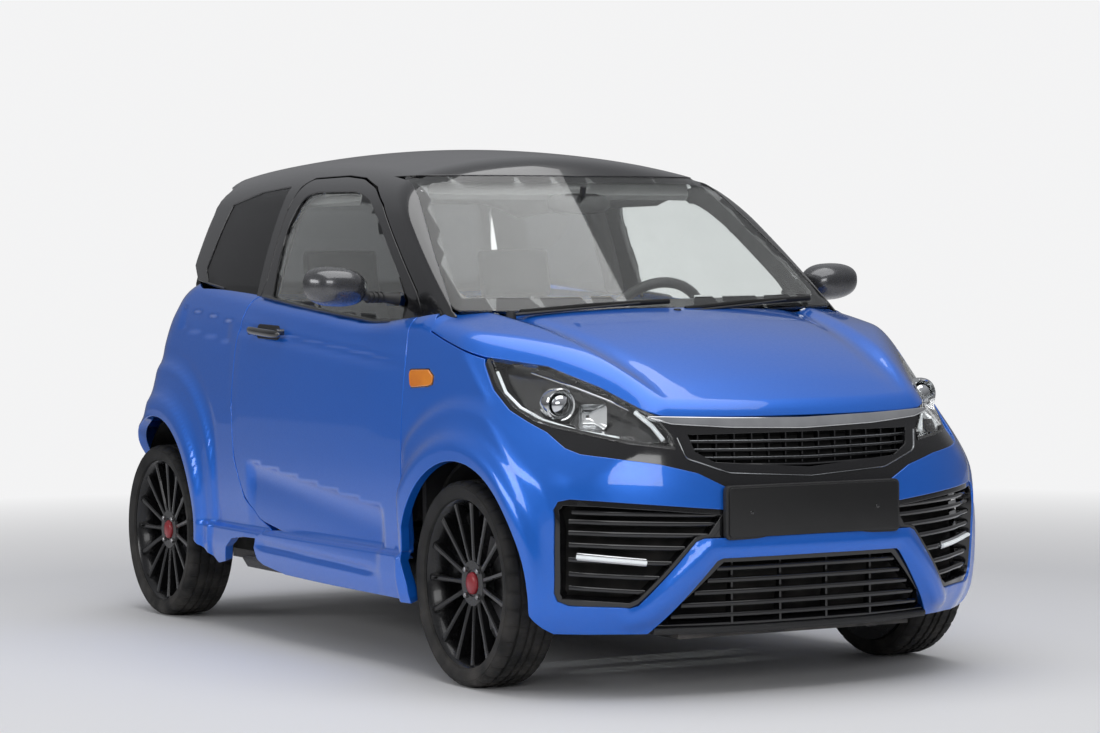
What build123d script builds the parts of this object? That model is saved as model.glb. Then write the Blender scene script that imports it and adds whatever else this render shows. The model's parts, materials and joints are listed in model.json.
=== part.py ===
from build123d import *
import math
import os

# Two-seat microcar, millimetres. The front points to -Y, the car's left is +X, Z is up.
# The origin is on the ground, under the middle of the overall length and width.

# ---------------------------------------------------------------- driving dimensions
OVERALL_LENGTH = 3000
FRONT_Y = -OVERALL_LENGTH / 2
REAR_Y = OVERALL_LENGTH / 2
WHEELBASE = 2066
FRONT_OVERHANG = 590
FRONT_AXLE_Y = FRONT_Y + FRONT_OVERHANG
REAR_AXLE_Y = FRONT_AXLE_Y + WHEELBASE

TYRE_R = 268
TYRE_WIDTH = 150
TYRE_SHOULDER_R = 22
RIM_LIP_R = 223
RIM_SEAT_R = 214
RIM_BARREL_WALL = 9
WHEEL_X = 635  # middle of the tyre
HUB_FACE = 15  # wheel mounting face, outboard of the tyre's middle
SPOKES = 15

PANEL_GAP = 7  # shut lines round doors and lids
SEAM = 0.4  # fixed panels, pieces seated on each other
PIN_R = 3.5
PIN_CLEARANCE = 0.3
HINGE_INSET = 7  # hinge line behind the skin and behind the shut line
HINGE_LUG = 8

DOOR_WALL = 62
ROOF_WALL = 34
BODY_WALL = 46
LID_WALL = 24
GLASS_RECESS = 2
GLASS = 5

SIDE_PLAN_R = 24000  # plan curvature of the lower body sides
CABIN_PLAN_R = 9000  # plan curvature of the cabin sides
SIDE_CENTRE_Y = 150
BONNET_CROWN_R = 7000
ROOF_CROWN_R = 1900
ROOF_LONG_R = 6000
ROOF_TOP = (560, 1445)  # y, z of the highest point
SCREEN_FOOT = (-735, 985)  # y, z on the centre line
SCREEN_SLOPE = 36.0  # degrees from level
SCREEN_R = 4490
BONNET_LINE = [(-1440, 715), (-1100, 888), (-650, 990)]  # y, z on the centre line

STEER_X = 575
STEER_PIN_R = 14
STEER_ARM_Z = 105  # ball joints above and below the axle
ARCH_INNER_X = 405
FRONT_ARCH_R = 322
REAR_ARCH_R = 322
REAR_ARCH_SHIFT = (-25, 40)  # y, z from the axle to the rear arch's centre
LINER_WALL = 4
FLARE_X = 730
FLARE_BAND = 148  # from the lip to the outer crease
FLARE_LIP = 26  # flat rolled edge next to the tyre
FLARE_STEP = (44, 12)  # inner step: how far from the lip, how deep
FLARE_FALL = 42  # how far the outer crease lies inside the lip's plane
FLARE_TRIM = 26  # how far flares may stand out of the plan outline's corners
FLARE_INNER_X = 640
FLOOR_Z = 190
FLOOR_WALL = 34

FAR = 2000
BONNET_SWEEP = 110
ROOF_SWEEP = 26


# ---------------------------------------------------------------- helpers
def yz_prism(points, x0, x1):
    """Extrude a closed outline of (y, z) points from x0 to x1."""
    face = make_face(Polyline(*points, close=True))
    return extrude(Plane.YZ.offset(x0) * face, x1 - x0)


def xz_prism(points, y0, y1):
    """Extrude a closed outline of (x, z) points from y0 to y1."""
    face = make_face(Polyline(*points, close=True))
    return extrude(Plane.XZ.offset(-y1) * face, y1 - y0)


def xy_prism(points, z0, z1):
    """Extrude a closed outline of (x, y) points from z0 to z1."""
    face = make_face(Polyline(*points, close=True))
    return extrude(Plane.XY.offset(z0) * face, z1 - z0)


def box(x0, x1, y0, y1, z0, z1):
    """A box between two corners."""
    return Pos((x0 + x1) / 2, (y0 + y1) / 2, (z0 + z1) / 2) * Box(x1 - x0, y1 - y0, z1 - z0)


def rod(start, end, radius):
    """A round bar between two points."""
    a, b = Vector(*start), Vector(*end)
    plane = Plane(origin=a, z_dir=b - a)
    return extrude(plane * Circle(radius), (b - a).length)


def disc_x(x0, x1, y, z, radius):
    """A disc whose axis runs across the car."""
    return rod((x0, y, z), (x1, y, z), radius)


def mirrored(part):
    """The same piece on the car's right."""
    return mirror(part, about=Plane.YZ)


def both(part):
    """A left piece and its mirror image in one node."""
    return Compound(children=[*part.solids(), *mirrored(part).solids()])


def circle_through(a, b, c):
    """Centre and radius of the circle through three points."""
    (ax, ay), (bx, by), (cx, cy) = a, b, c
    d = 2 * (ax * (by - cy) + bx * (cy - ay) + cx * (ay - by))
    ux = ((ax**2 + ay**2) * (by - cy) + (bx**2 + by**2) * (cy - ay) + (cx**2 + cy**2) * (ay - by)) / d
    uy = ((ax**2 + ay**2) * (cx - bx) + (bx**2 + by**2) * (ax - cx) + (cx**2 + cy**2) * (bx - ax)) / d
    return ux, uy, math.hypot(ax - ux, ay - uy)


def barrel_top(centre_y, centre_z, radius, crown_r, sweep_angle, half_width=900):
    """A solid under a double-curved top: an arc along the car, crowned across it."""
    drop = half_width**2 / (2 * crown_r)
    low = radius - 900
    outline = [
        Line((-half_width, low), (half_width, low)),
        Line((half_width, low), (half_width, radius - drop)),
        ThreePointArc((half_width, radius - drop), (0, radius), (-half_width, radius - drop)),
        Line((-half_width, radius - drop), (-half_width, low)),
    ]
    face = Plane(origin=(0, centre_y, centre_z), x_dir=(1, 0, 0), z_dir=(0, -1, 0)) * make_face(outline)
    axis = Axis((0, centre_y, centre_z), (1, 0, 0))
    return revolve(face, axis, sweep_angle).rotate(axis, -sweep_angle / 2)


def side_barrel(outline, plan_r):
    """Turn a cross-section of the left side about a far vertical axis: the bowed body side."""
    face = Plane(origin=(0, SIDE_CENTRE_Y, 0), x_dir=(1, 0, 0), z_dir=(0, -1, 0)) * make_face(outline)
    axis = Axis((FLARE_X - plan_r, SIDE_CENTRE_Y, 0), (0, 0, 1))
    sweep_angle = math.degrees(2 * FAR / plan_r)
    return revolve(face, axis, sweep_angle).rotate(axis, -sweep_angle / 2)


# ---------------------------------------------------------------- body envelopes
# Cross-section of the lower side, widest station: x, z.
SILL_FOOT = (664, 150)
SILL_TURN = (700, 215)
DOOR_FOOT = (704, 330)
DOOR_BELLY = (712, 560)
BELT_EDGE = (664, 985)
BELT_TOP = (640, 1130)
# Cross-section of the cabin's side.
CABIN_FOOT = (668, 900)
CABIN_MID = (603, 1155)
CABIN_TOP = (522, 1352)
CABIN_OVER = (480, 1460)

# Side outline of the lower body: y, z.
NOSE_OUTLINE = [(-1440, 182), (-1478, 300), (-1487, 470), (-1466, 600), (-1436, 712), (-1436, 1080)]
BELT_OUTLINE = [(-640, 1080), (-640, 968), (-476, 950), (-320, 936), (984, 1051), (1150, 1064)]
TAIL_OUTLINE = [(1296, 1003), (1385, 865), (1428, 700), (1444, 615), (1490, 580), (1500, 480), (1497, 330),
                (1478, 225), (1460, 182)]
# Side outline of the cabin: y, z.
CABIN_OUTLINE = [(-780, 900), (-780, 960), (-100, 1460), (-100, 1520), (1160, 1520), (1222, 1392), (1196, 1345),
                 (1292, 1006), (1292, 900)]
# The lamp facets cut the corners between bonnet and bumper: a point and an outward direction.
LAMP_POINT = (640, -940, 854)
LAMP_NORMAL = (0.634, -0.501, 0.588)


def plan_face(inset):
    """Plan outline of the body: bowed nose and tail with rounded corners."""
    nose, tail = FRONT_Y + 14 + inset, REAR_Y - inset
    corner_x, side_x = 470, FLARE_X - 8 - inset
    front_corner_y, rear_corner_y = nose + 52, tail - 30
    front_side_y, rear_side_y = -1120, 1210
    edges = [
        ThreePointArc((-corner_x, front_corner_y), (0, nose), (corner_x, front_corner_y)),
        ThreePointArc((corner_x, front_corner_y), (642 - inset, -1340 + inset), (side_x, front_side_y)),
        Line((side_x, front_side_y), (side_x, rear_side_y)),
        ThreePointArc((side_x, rear_side_y), (636 - inset, 1405 - inset), (corner_x, rear_corner_y)),
        ThreePointArc((corner_x, rear_corner_y), (0, tail), (-corner_x, rear_corner_y)),
        ThreePointArc((-corner_x, rear_corner_y), (-636 + inset, 1405 - inset), (-side_x, rear_side_y)),
        Line((-side_x, rear_side_y), (-side_x, front_side_y)),
        ThreePointArc((-side_x, front_side_y), (-642 + inset, -1340 + inset), (-corner_x, front_corner_y)),
    ]
    return make_face(edges)


def grown(points, inset):
    """Move a side outline's points towards the middle of the car by a wall."""
    centre_y, centre_z = 0, 600
    moved = []
    for y, z in points:
        step_y = -inset if y > centre_y else inset
        moved.append((y + step_y, z - inset if z > centre_z else z))
    return moved


def lower_body(inset):
    """The closed shape of the lower body, drawn in by a wall."""
    lower_side = [
        Line((-FAR / 2, 100), (SILL_FOOT[0] - inset, 100)),
        Line((SILL_FOOT[0] - inset, 100), (SILL_FOOT[0] - inset, SILL_FOOT[1])),
        Line((SILL_FOOT[0] - inset, SILL_FOOT[1]), (SILL_TURN[0] - inset, SILL_TURN[1])),
        Line((SILL_TURN[0] - inset, SILL_TURN[1]), (DOOR_FOOT[0] - inset, DOOR_FOOT[1])),
        ThreePointArc((DOOR_FOOT[0] - inset, DOOR_FOOT[1]), (DOOR_BELLY[0] - inset, DOOR_BELLY[1]),
                      (BELT_EDGE[0] - inset, BELT_EDGE[1])),
        Line((BELT_EDGE[0] - inset, BELT_EDGE[1]), (BELT_TOP[0] - inset, BELT_TOP[1])),
        Line((BELT_TOP[0] - inset, BELT_TOP[1]), (-FAR / 2, BELT_TOP[1])),
        Line((-FAR / 2, BELT_TOP[1]), (-FAR / 2, 100)),
    ]
    left = side_barrel(lower_side, SIDE_PLAN_R)
    outline = grown(NOSE_OUTLINE + BELT_OUTLINE + TAIL_OUTLINE, inset)
    shape = yz_prism(outline, -FAR / 2, FAR / 2)
    shape &= extrude(Plane.XY.offset(100) * plan_face(inset), 1200)
    shape = shape & left & mirrored(left)
    y, z, radius = circle_through(*BONNET_LINE)
    front = barrel_top(y, z, radius - inset, BONNET_CROWN_R, BONNET_SWEEP) & box(-900, 900, -1700, -640 + inset, 0, 1100)
    shape &= front + box(-900, 900, -640 + inset, 1700, 0, 1100)
    for sign in (1, -1):
        nx, ny, nz = LAMP_NORMAL
        point = Vector(sign * (LAMP_POINT[0] - nx * inset), LAMP_POINT[1] - ny * inset, LAMP_POINT[2] - nz * inset)
        cutter = Plane(origin=point, z_dir=(sign * nx, ny, nz))
        shape -= extrude(cutter * Rectangle(3000, 3000), 1500)
    return shape


def cabin(inset):
    """The closed shape of the cabin above the belt, drawn in by a wall."""
    side = [
        Line((-FAR / 2, CABIN_FOOT[1]), (CABIN_FOOT[0] - inset, CABIN_FOOT[1])),
        ThreePointArc((CABIN_FOOT[0] - inset, CABIN_FOOT[1]), (CABIN_MID[0] - inset, CABIN_MID[1]),
                      (CABIN_TOP[0] - inset, CABIN_TOP[1])),
        Line((CABIN_TOP[0] - inset, CABIN_TOP[1]), (CABIN_OVER[0] - inset, CABIN_OVER[1])),
        Line((CABIN_OVER[0] - inset, CABIN_OVER[1]), (-FAR / 2, CABIN_OVER[1])),
        Line((-FAR / 2, CABIN_OVER[1]), (-FAR / 2, CABIN_FOOT[1])),
    ]
    left = side_barrel(side, CABIN_PLAN_R)
    outline = [(y - inset if y > 0 else y, z) for y, z in CABIN_OUTLINE]
    shape = yz_prism(outline, -FAR / 2, FAR / 2)
    shape = shape & left & mirrored(left)
    shape &= barrel_top(ROOF_TOP[0], ROOF_TOP[1] - ROOF_LONG_R, ROOF_LONG_R - inset, ROOF_CROWN_R, ROOF_SWEEP)
    slope = math.radians(SCREEN_SLOPE)
    outward = Vector(0, -math.sin(slope), math.cos(slope))
    foot = Vector(0, SCREEN_FOOT[0], SCREEN_FOOT[1])
    along = Vector(0, math.cos(slope), math.sin(slope))
    centre = foot - outward * SCREEN_R - along * FAR
    shape &= extrude(Plane(origin=centre, z_dir=along) * Circle(SCREEN_R - inset), 3 * FAR)
    return shape


# ---------------------------------------------------------------- panel outlines, all y, z
DOOR_FRONT_Y = -552
DOOR_OUTLINE = [(DOOR_FRONT_Y, 335), (-520, 318), (216, 322), (401, 352), (480, 412), (551, 527), (577, 690),
                (560, 860), (500, 1005), (475, 1050), (475, 1261), (448, 1330), (400, 1349), (180, 1350),
                (60, 1340), (-60, 1311), (-165, 1260), (-340, 1134), (-490, 1022), (DOOR_FRONT_Y, 944)]
DOOR_GLASS_OUTLINE = [(415, 1014), (430, 1200), (390, 1303), (310, 1310), (30, 1306), (-80, 1276), (-190, 1208),
                      (-410, 1044), (-440, 985), (-330, 950)]
QUARTER_GLASS_OUTLINE = [(530, 1020), (1004, 1066), (990, 1286), (760, 1322), (530, 1334)]
SCREEN_OUTLINE = [(-607, 978), (607, 978), (481, 1345), (-481, 1345)]  # x, z
REAR_GLASS_OUTLINE = [(-520, 1040), (520, 1040), (440, 1310), (-440, 1310)]  # x, z
BONNET_EDGE = [(-655, 1100), (-655, 930), (-672, 916), (-937, 852), (-1405, 712), (-1600, 706), (-1600, 1100)]
LAMP_LOWER_EDGE = [(-937, 852), (-985, 800), (-1040, 742), (-1130, 700), (-1300, 655), (-1428, 600), (-1600, 590)]
LAMP_INNER_X = 374
WING_FRONT_Y = -1190
SILL_TOP_Z = 306
BUMPER_SPLIT_Z = 600  # rear bumper under the tailgate
TAILGATE_SPLIT_Y = 1097
TAILGATE_HALF = 548
GRILLE_OUTLINE = [(-404, 694), (404, 694), (372, 640), (330, 556), (-330, 556), (-372, 640)]  # x, z
LOWER_GRILLE_OUTLINE = [(-300, 385), (300, 385), (425, 205), (-425, 205)]  # x, z
LOWER_OPEN_OUTLINE = [(-300, 385), (300, 385), (430, 196), (430, 120), (-430, 120), (-430, 196)]  # x, z
INTAKE_OUTLINE = [(350, 500), (640, 520), (668, 500), (668, 290), (640, 268), (470, 262), (400, 345),
                  (350, 430)]  # x, z, left
TAIL_LAMP_OUTLINE = [(1225, 992), (1275, 1000), (1400, 850), (1404, 790), (1350, 790)]

# ---------------------------------------------------------------- shells
LOWER = lower_body(0)
LOWER_IN = lower_body(BODY_WALL)
LOWER_DOOR = lower_body(DOOR_WALL)
LOWER_LID = lower_body(LID_WALL)
CABIN = cabin(0)
CABIN_IN = cabin(ROOF_WALL)
GLASS_SKIN = cabin(GLASS_RECESS) - cabin(GLASS_RECESS + GLASS)


def flare(arch_y, arch_z, lip_r):
    """The raised band round a wheel arch, as a turned ring."""
    band = lip_r + FLARE_BAND
    inside = lip_r - 20
    outline = [(inside, FLARE_INNER_X), (inside, FLARE_X), (lip_r + FLARE_LIP, FLARE_X),
               (lip_r + FLARE_STEP[0], FLARE_X - FLARE_STEP[1]), (band, FLARE_X - FLARE_FALL), (band, FLARE_INNER_X)]
    plane = Plane(origin=(0, arch_y, arch_z), x_dir=(0, 1, 0), z_dir=(0, 0, 1))
    points = [plane.from_local_coords((r, -x, 0)) for r, x in outline]
    ring = revolve(make_face(Polyline(*points, close=True)), Axis((0, arch_y, arch_z), (1, 0, 0)), 360)
    ring &= extrude(Plane.XY.offset(100) * plan_face(-FLARE_TRIM), 1200)
    return ring & box(0, 900, -FAR, REAR_Y - 14, SILL_FOOT[1] + 32, FAR)


def arch_cut(arch_y, arch_z, lip_r, apron):
    """The wheel opening: the lip's circle and the apron in front of it, open below."""
    cut = disc_x(ARCH_INNER_X, 900, arch_y, arch_z, lip_r)
    cut += box(ARCH_INNER_X, 900, arch_y - lip_r * 0.7, arch_y + lip_r * 0.96, 0, arch_z)
    return cut + yz_prism(apron, ARCH_INNER_X, 900)


ARCHES = [  # centre y, centre z, lip radius, apron
    (FRONT_AXLE_Y, TYRE_R, FRONT_ARCH_R, [(FRONT_AXLE_Y, 0), (-1345, 0), (-1329, 182), (-1264, 342), (-1180, 440),
                                  (FRONT_AXLE_Y, 440)]),
    (REAR_AXLE_Y + REAR_ARCH_SHIFT[0], TYRE_R + REAR_ARCH_SHIFT[1], REAR_ARCH_R,
     [(REAR_AXLE_Y, 0), (600, 0), (635, 234), (812, 440), (REAR_AXLE_Y, 480)]),
]
FLARES = [flare(y, z, r) for y, z, r, apron in ARCHES]
ARCH_CUTS = [arch_cut(*arch) for arch in ARCHES]


def side_shell(inner):
    """The left body side between the outer skin and an inner one, with flares and wheel openings."""
    shell = (LOWER - inner) & box(0, 900, -FAR, FAR, 0, FAR)
    for ring in FLARES:
        shell += ring
    for cut in ARCH_CUTS:
        shell -= cut
    return shell


def grown_prism(outline, x0, x1, gap):
    """A side outline widened by a gap and extruded across."""
    face = make_face(Polyline(*outline, close=True))
    return extrude(Plane.YZ.offset(x0) * offset(face, gap, kind=Kind.INTERSECTION), x1 - x0)


def front_prism(outline, y0, y1, gap):
    """A front outline widened by a gap and extruded along the car."""
    face = make_face(Polyline(*outline, close=True))
    return extrude(Plane.XZ.offset(-y1) * offset(face, gap, kind=Kind.INTERSECTION), y1 - y0)


SIDE = side_shell(LOWER_IN)
DOOR_PRISM = grown_prism(DOOR_OUTLINE, 300, 900, 0)
OPENING_PRISM = grown_prism(DOOR_OUTLINE, 300, 900, PANEL_GAP) + box(300, 900, 400, 490, 1000, 1357)
CABIN_WELL = box(-600, 600, -556, 1235, 800, 1130)

BONNET_OPENING = grown_prism(BONNET_EDGE, -900, 900, PANEL_GAP)
LAMP_OUTLINE = [BONNET_EDGE[3], BONNET_EDGE[4], BONNET_EDGE[5], *reversed(LAMP_LOWER_EDGE[1:])]
LAMP_PRISM = yz_prism([(y, z - PANEL_GAP - 1) if z > 700 else (y, z) for y, z in LAMP_OUTLINE], LAMP_INNER_X, 900)

parts = {}


# ---------------------------------------------------------------- hinge lines
def skin_x(z, y):
    """How far out the lower side skin lies at a height and station, near enough for a hinge."""
    x0, z0 = DOOR_BELLY
    return x0 - (z - z0) ** 2 * 0.00027 - (y - SIDE_CENTRE_Y) ** 2 / (2 * SIDE_PLAN_R)


DOOR_AXIS = (round(skin_x(DOOR_BELLY[1], DOOR_FRONT_Y), 1) - HINGE_INSET, DOOR_FRONT_Y + HINGE_INSET)
DOOR_HINGE_Z = (450, 800)
BONNET_AXIS = (-1432, 712.5)
BONNET_HINGE_X = 150
BONNET_PIN_R = 2.5
BONNET_PIN_HALF = 25
TAILGATE_AXIS = (TAILGATE_SPLIT_Y + HINGE_INSET, 1412)
TAILGATE_HINGE_X = (90, 130)
LUG_SWEEP = 18  # room that the tailgate leaves round each lug's web


# ---------------------------------------------------------------- doors, left
def door():
    """Door: full-depth lower panel and window frame in one piece, with pockets for the hinge eyes."""
    lower = ((LOWER & DOOR_PRISM) - LOWER_DOOR) - CABIN_WELL
    frame = (CABIN - CABIN_IN) & DOOR_PRISM
    window = grown_prism(DOOR_GLASS_OUTLINE, 300, 900, 0)
    panel = lower + (frame - window)
    axis_x, axis_y = DOOR_AXIS
    corner = box(axis_x, axis_x + 60, axis_y - 60, axis_y, 100, 1200)
    panel -= corner - rod((axis_x, axis_y, 90), (axis_x, axis_y, 1210), HINGE_INSET)
    for z in DOOR_HINGE_Z:
        panel -= rod((axis_x, axis_y, z - HINGE_LUG / 2 - 1), (axis_x, axis_y, z + HINGE_LUG / 2 + 1), HINGE_INSET + 1)
        panel -= rod((axis_x, axis_y, z - 26), (axis_x, axis_y, z + 26), PIN_R + PIN_CLEARANCE)
    return panel.solids().sort_by(SortBy.VOLUME)[-1]


def door_hinges():
    """Pins and eyes that carry the door, standing on the wing's rear edge."""
    axis_x, axis_y = DOOR_AXIS
    pieces = []
    for z in DOOR_HINGE_Z:
        pin = rod((axis_x, axis_y, z - 25), (axis_x, axis_y, z + 25), PIN_R)
        low, high = z - HINGE_LUG / 2, z + HINGE_LUG / 2
        pin += rod((axis_x, axis_y, low), (axis_x, axis_y, high), HINGE_INSET - 1)
        pin += box(axis_x - 3, axis_x + 3, DOOR_FRONT_Y - PANEL_GAP - 12, axis_y, low, high)
        pieces.append(pin)
    return pieces


DOOR = door()
parts["door_left"] = DOOR
door_window = grown_prism(DOOR_GLASS_OUTLINE, 300, 900, -SEAM)
parts["door_glass_left"] = GLASS_SKIN & door_window & box(300, 900, -FAR, FAR, 900, FAR)
parts["door_glass_left"] -= DOOR

handle = box(640, 712, 225, 238, 893, 909) + box(640, 712, 437, 450, 893, 909) + box(702, 716, 218, 456, 890, 914)
parts["door_handle_left"] = (handle - LOWER).solids().sort_by(SortBy.VOLUME)[-1]

MIRROR = (802, -392, 1036)
MIRROR_HALF = (88, 44, 53)  # half width, half depth, half height
housing_face = make_face([
    ThreePointArc((-MIRROR_HALF[0], 12), (0, MIRROR_HALF[2]), (MIRROR_HALF[0], 12)),
    Line((MIRROR_HALF[0], 12), (MIRROR_HALF[0], 0)), Line((MIRROR_HALF[0], 0), (-MIRROR_HALF[0], 0)),
    Line((-MIRROR_HALF[0], 0), (-MIRROR_HALF[0], 12))])
housing = revolve(housing_face, Axis.X, 360)
mirror_head = Pos(*MIRROR) * housing & box(600, 1000, MIRROR[1] - MIRROR_HALF[2], MIRROR[1] + 30, 900, 1200)
mirror_head += rod((MIRROR[0] - 60, MIRROR[1] - 6, MIRROR[2] - 8), (640, MIRROR[1] - 14, 1008), 15)
foot = box(600, 668, -442, -380, 985, 1024)
mirror_head += foot
mirror_head -= CABIN
mirror_head -= LOWER
parts["mirror_left"] = mirror_head.solids().sort_by(SortBy.VOLUME)[-1]

# ---------------------------------------------------------------- fixed side panels, left
wing = SIDE & box(0, 900, WING_FRONT_Y + SEAM, 0, SILL_TOP_Z + SEAM, 1200)
wing = wing - OPENING_PRISM - BONNET_OPENING - LAMP_PRISM - CABIN_WELL - box(-600, 600, -640, -500, 800, 1100)
for piece in door_hinges():
    wing += piece
tail_lamp_prism = yz_prism(TAIL_LAMP_OUTLINE, 560, 900)
TAILGATE_OUTLINE = [(-TAILGATE_HALF, BUMPER_SPLIT_Z + PANEL_GAP), (TAILGATE_HALF, BUMPER_SPLIT_Z + PANEL_GAP),
                    (TAILGATE_HALF, 930), (496, 1345), (470, 1500), (-470, 1500), (-496, 1345),
                    (-TAILGATE_HALF, 930)]
TAILGATE_PRISM = front_prism(TAILGATE_OUTLINE, TAILGATE_SPLIT_Y, 1700, 0)
TAILGATE_OPENING = front_prism(TAILGATE_OUTLINE, TAILGATE_SPLIT_Y - PANEL_GAP, 1700, PANEL_GAP)
BUMPER_BACK = box(-900, 900, 1240, 1700, 0, BUMPER_SPLIT_Z)
quarter = SIDE & box(0, 900, 150, 1600, SILL_TOP_Z + SEAM, 1200)
quarter = quarter - OPENING_PRISM - CABIN_WELL - TAILGATE_OPENING - tail_lamp_prism - BUMPER_BACK
sill = SIDE & box(0, 900, -700, 760, 100, SILL_TOP_Z)
skirt = xz_prism([(660, 192), (700, 192), (718, 214), (722, 304), (704, 315), (660, 315)], -600, 700)
for cut in ARCH_CUTS:
    skirt -= cut
sill = (sill + (skirt & box(0, 900, -600, 700, 100, SILL_TOP_Z))) - OPENING_PRISM


def biggest(part, count=1):
    """Keep the largest solids."""
    kept = part.solids().sort_by(SortBy.VOLUME)[-count:]
    return kept[0] if count == 1 else Compound(children=kept)


wing, quarter, sill = biggest(wing), biggest(quarter), biggest(sill)
parts["front_wings"] = both(wing)
parts["rear_quarters"] = both(quarter)
parts["sills"] = both(sill)
lamp_skin = lower_body(1)
lamp = (lamp_skin - lower_body(64)) & LAMP_PRISM & box(300, 900, -FAR, -920, 560, 900)
parts["headlamps"] = both(biggest(lamp - wing))
tail_lamp = (lamp_skin - LOWER_IN) & tail_lamp_prism & box(TAILGATE_HALF + PANEL_GAP, 900, 1200, 1500, 0, 1100)
parts["tail_lamps"] = both(biggest(tail_lamp - quarter))
quarter_window = grown_prism(QUARTER_GLASS_OUTLINE, 300, 900, -SEAM)
parts["quarter_glass"] = both(biggest(GLASS_SKIN & quarter_window))

# ---------------------------------------------------------------- front
bonnet_rear = [
    ThreePointArc((-660, BONNET_EDGE[0][0]), (0, -768), (660, BONNET_EDGE[0][0])),
    Line((660, BONNET_EDGE[0][0]), (900, BONNET_EDGE[0][0])), Line((900, BONNET_EDGE[0][0]), (900, -1700)),
    Line((900, -1700), (-900, -1700)), Line((-900, -1700), (-900, BONNET_EDGE[0][0])),
    Line((-900, BONNET_EDGE[0][0]), (-660, BONNET_EDGE[0][0]))]
BONNET_PLAN = make_face(bonnet_rear)
bonnet = (LOWER - LOWER_LID) & grown_prism(BONNET_EDGE, -900, 900, 0)
bonnet &= extrude(Plane.XY.offset(500) * BONNET_PLAN, 700)
bonnet = biggest(bonnet)
cowl = (LOWER - LOWER_LID) & box(-600 + SEAM, 600 - SEAM, -800, -557, 850, 1100)
cowl -= extrude(Plane.XY.offset(500) * offset(BONNET_PLAN, PANEL_GAP, kind=Kind.INTERSECTION), 700)
cowl -= CABIN_IN
cowl = biggest(cowl)
by, bz = BONNET_AXIS
for side in (1, -1):
    mid = side * BONNET_HINGE_X
    bonnet -= disc_x(mid - BONNET_PIN_HALF - 1, mid + BONNET_PIN_HALF + 1, by, bz, BONNET_PIN_R + PIN_CLEARANCE)
    bonnet -= box(mid - HINGE_LUG / 2 - 1, mid + HINGE_LUG / 2 + 1, by - 20, by + 6, bz - 30, bz + 20)
cowl = biggest(cowl - wing - mirrored(wing))
bonnet = biggest(bonnet)
parts["bonnet"] = bonnet

front = (LOWER & box(-900, 900, -1700, WING_FRONT_Y, 150, 1100)) - LOWER_IN
for ring in (FLARES[0], mirrored(FLARES[0])):
    front += ring & box(-900, 900, -1700, WING_FRONT_Y, 150, 1100)
bar_outline = [(-345, 425), (345, 425), (480, 182), (-480, 182)]
bar = (lower_body(-12) - LOWER_IN) & xz_prism(bar_outline, -1700, -1300)
front += bar
for cut in (ARCH_CUTS[0], mirrored(ARCH_CUTS[0])):
    front -= cut
front = front - BONNET_OPENING - LAMP_PRISM - mirrored(LAMP_PRISM)
front -= front_prism(GRILLE_OUTLINE, -1700, -1300, SEAM) + box(-404, 404, -1700, -1300, 690, 760)
front -= front_prism(LOWER_OPEN_OUTLINE, -1700, -1300, SEAM)
front -= front_prism(INTAKE_OUTLINE, -1700, -1200, SEAM)
front -= mirrored(front_prism(INTAKE_OUTLINE, -1700, -1200, SEAM))
front_bumper = biggest(front)
parts["front_bumper"] = front_bumper

recess, recess_back = lower_body(20), lower_body(34)
proud = lower_body(5)


def slatted(outline, slats, back):
    """A recessed panel with horizontal slats across it: z and height of each slat."""
    area = front_prism(outline, -1700, -1150, 0)
    panel = (recess - recess_back) & area
    low, high = min(z for _, z in outline), max(z for _, z in outline)
    bars = (proud - recess_back) & area
    for z, height in slats:
        band = bars & box(-900, 900, -1700, -1100, z - height / 2, z + height / 2)
        panel += band
    return panel & box(-900, 900, -1700, back, low - 1, high + 1)


grille = slatted(GRILLE_OUTLINE, [(688, 12), (656, 12), (624, 12), (592, 12), (560, 9)], -1300)
grille = grille - front_bumper - parts["headlamps"]
plate = box(-252, 252, -1500, -1440, 408, 532) - LOWER - front_bumper
grille_solids = biggest(grille)
for side in (1, -1):
    mid = side * BONNET_HINGE_X
    lug = (mid - HINGE_LUG / 2, mid + HINGE_LUG / 2)
    grille_solids += box(*lug, by - 4, by + 4, GRILLE_OUTLINE[0][1] - 8, bz) + disc_x(*lug, by, bz, 4)
    grille_solids += disc_x(mid - BONNET_PIN_HALF, mid + BONNET_PIN_HALF, by, bz, BONNET_PIN_R)
parts["upper_grille"] = Compound(children=[grille_solids, biggest(plate)])
lower_grille = slatted(LOWER_GRILLE_OUTLINE, [(374, 14), (326, 12), (284, 12), (242, 12)], -1300)
splitter = (lower_body(-8) - recess_back) & xz_prism([(-428, 190), (428, 190), (418, 214), (-418, 214)], -1700, -1300)
parts["lower_grille"] = biggest((lower_grille + splitter) - front_bumper)
intake = slatted(INTAKE_OUTLINE, [(506, 14), (456, 14), (406, 14), (356, 26), (300, 14)], -1262)
parts["side_intakes"] = both(biggest(intake - front_bumper))

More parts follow.
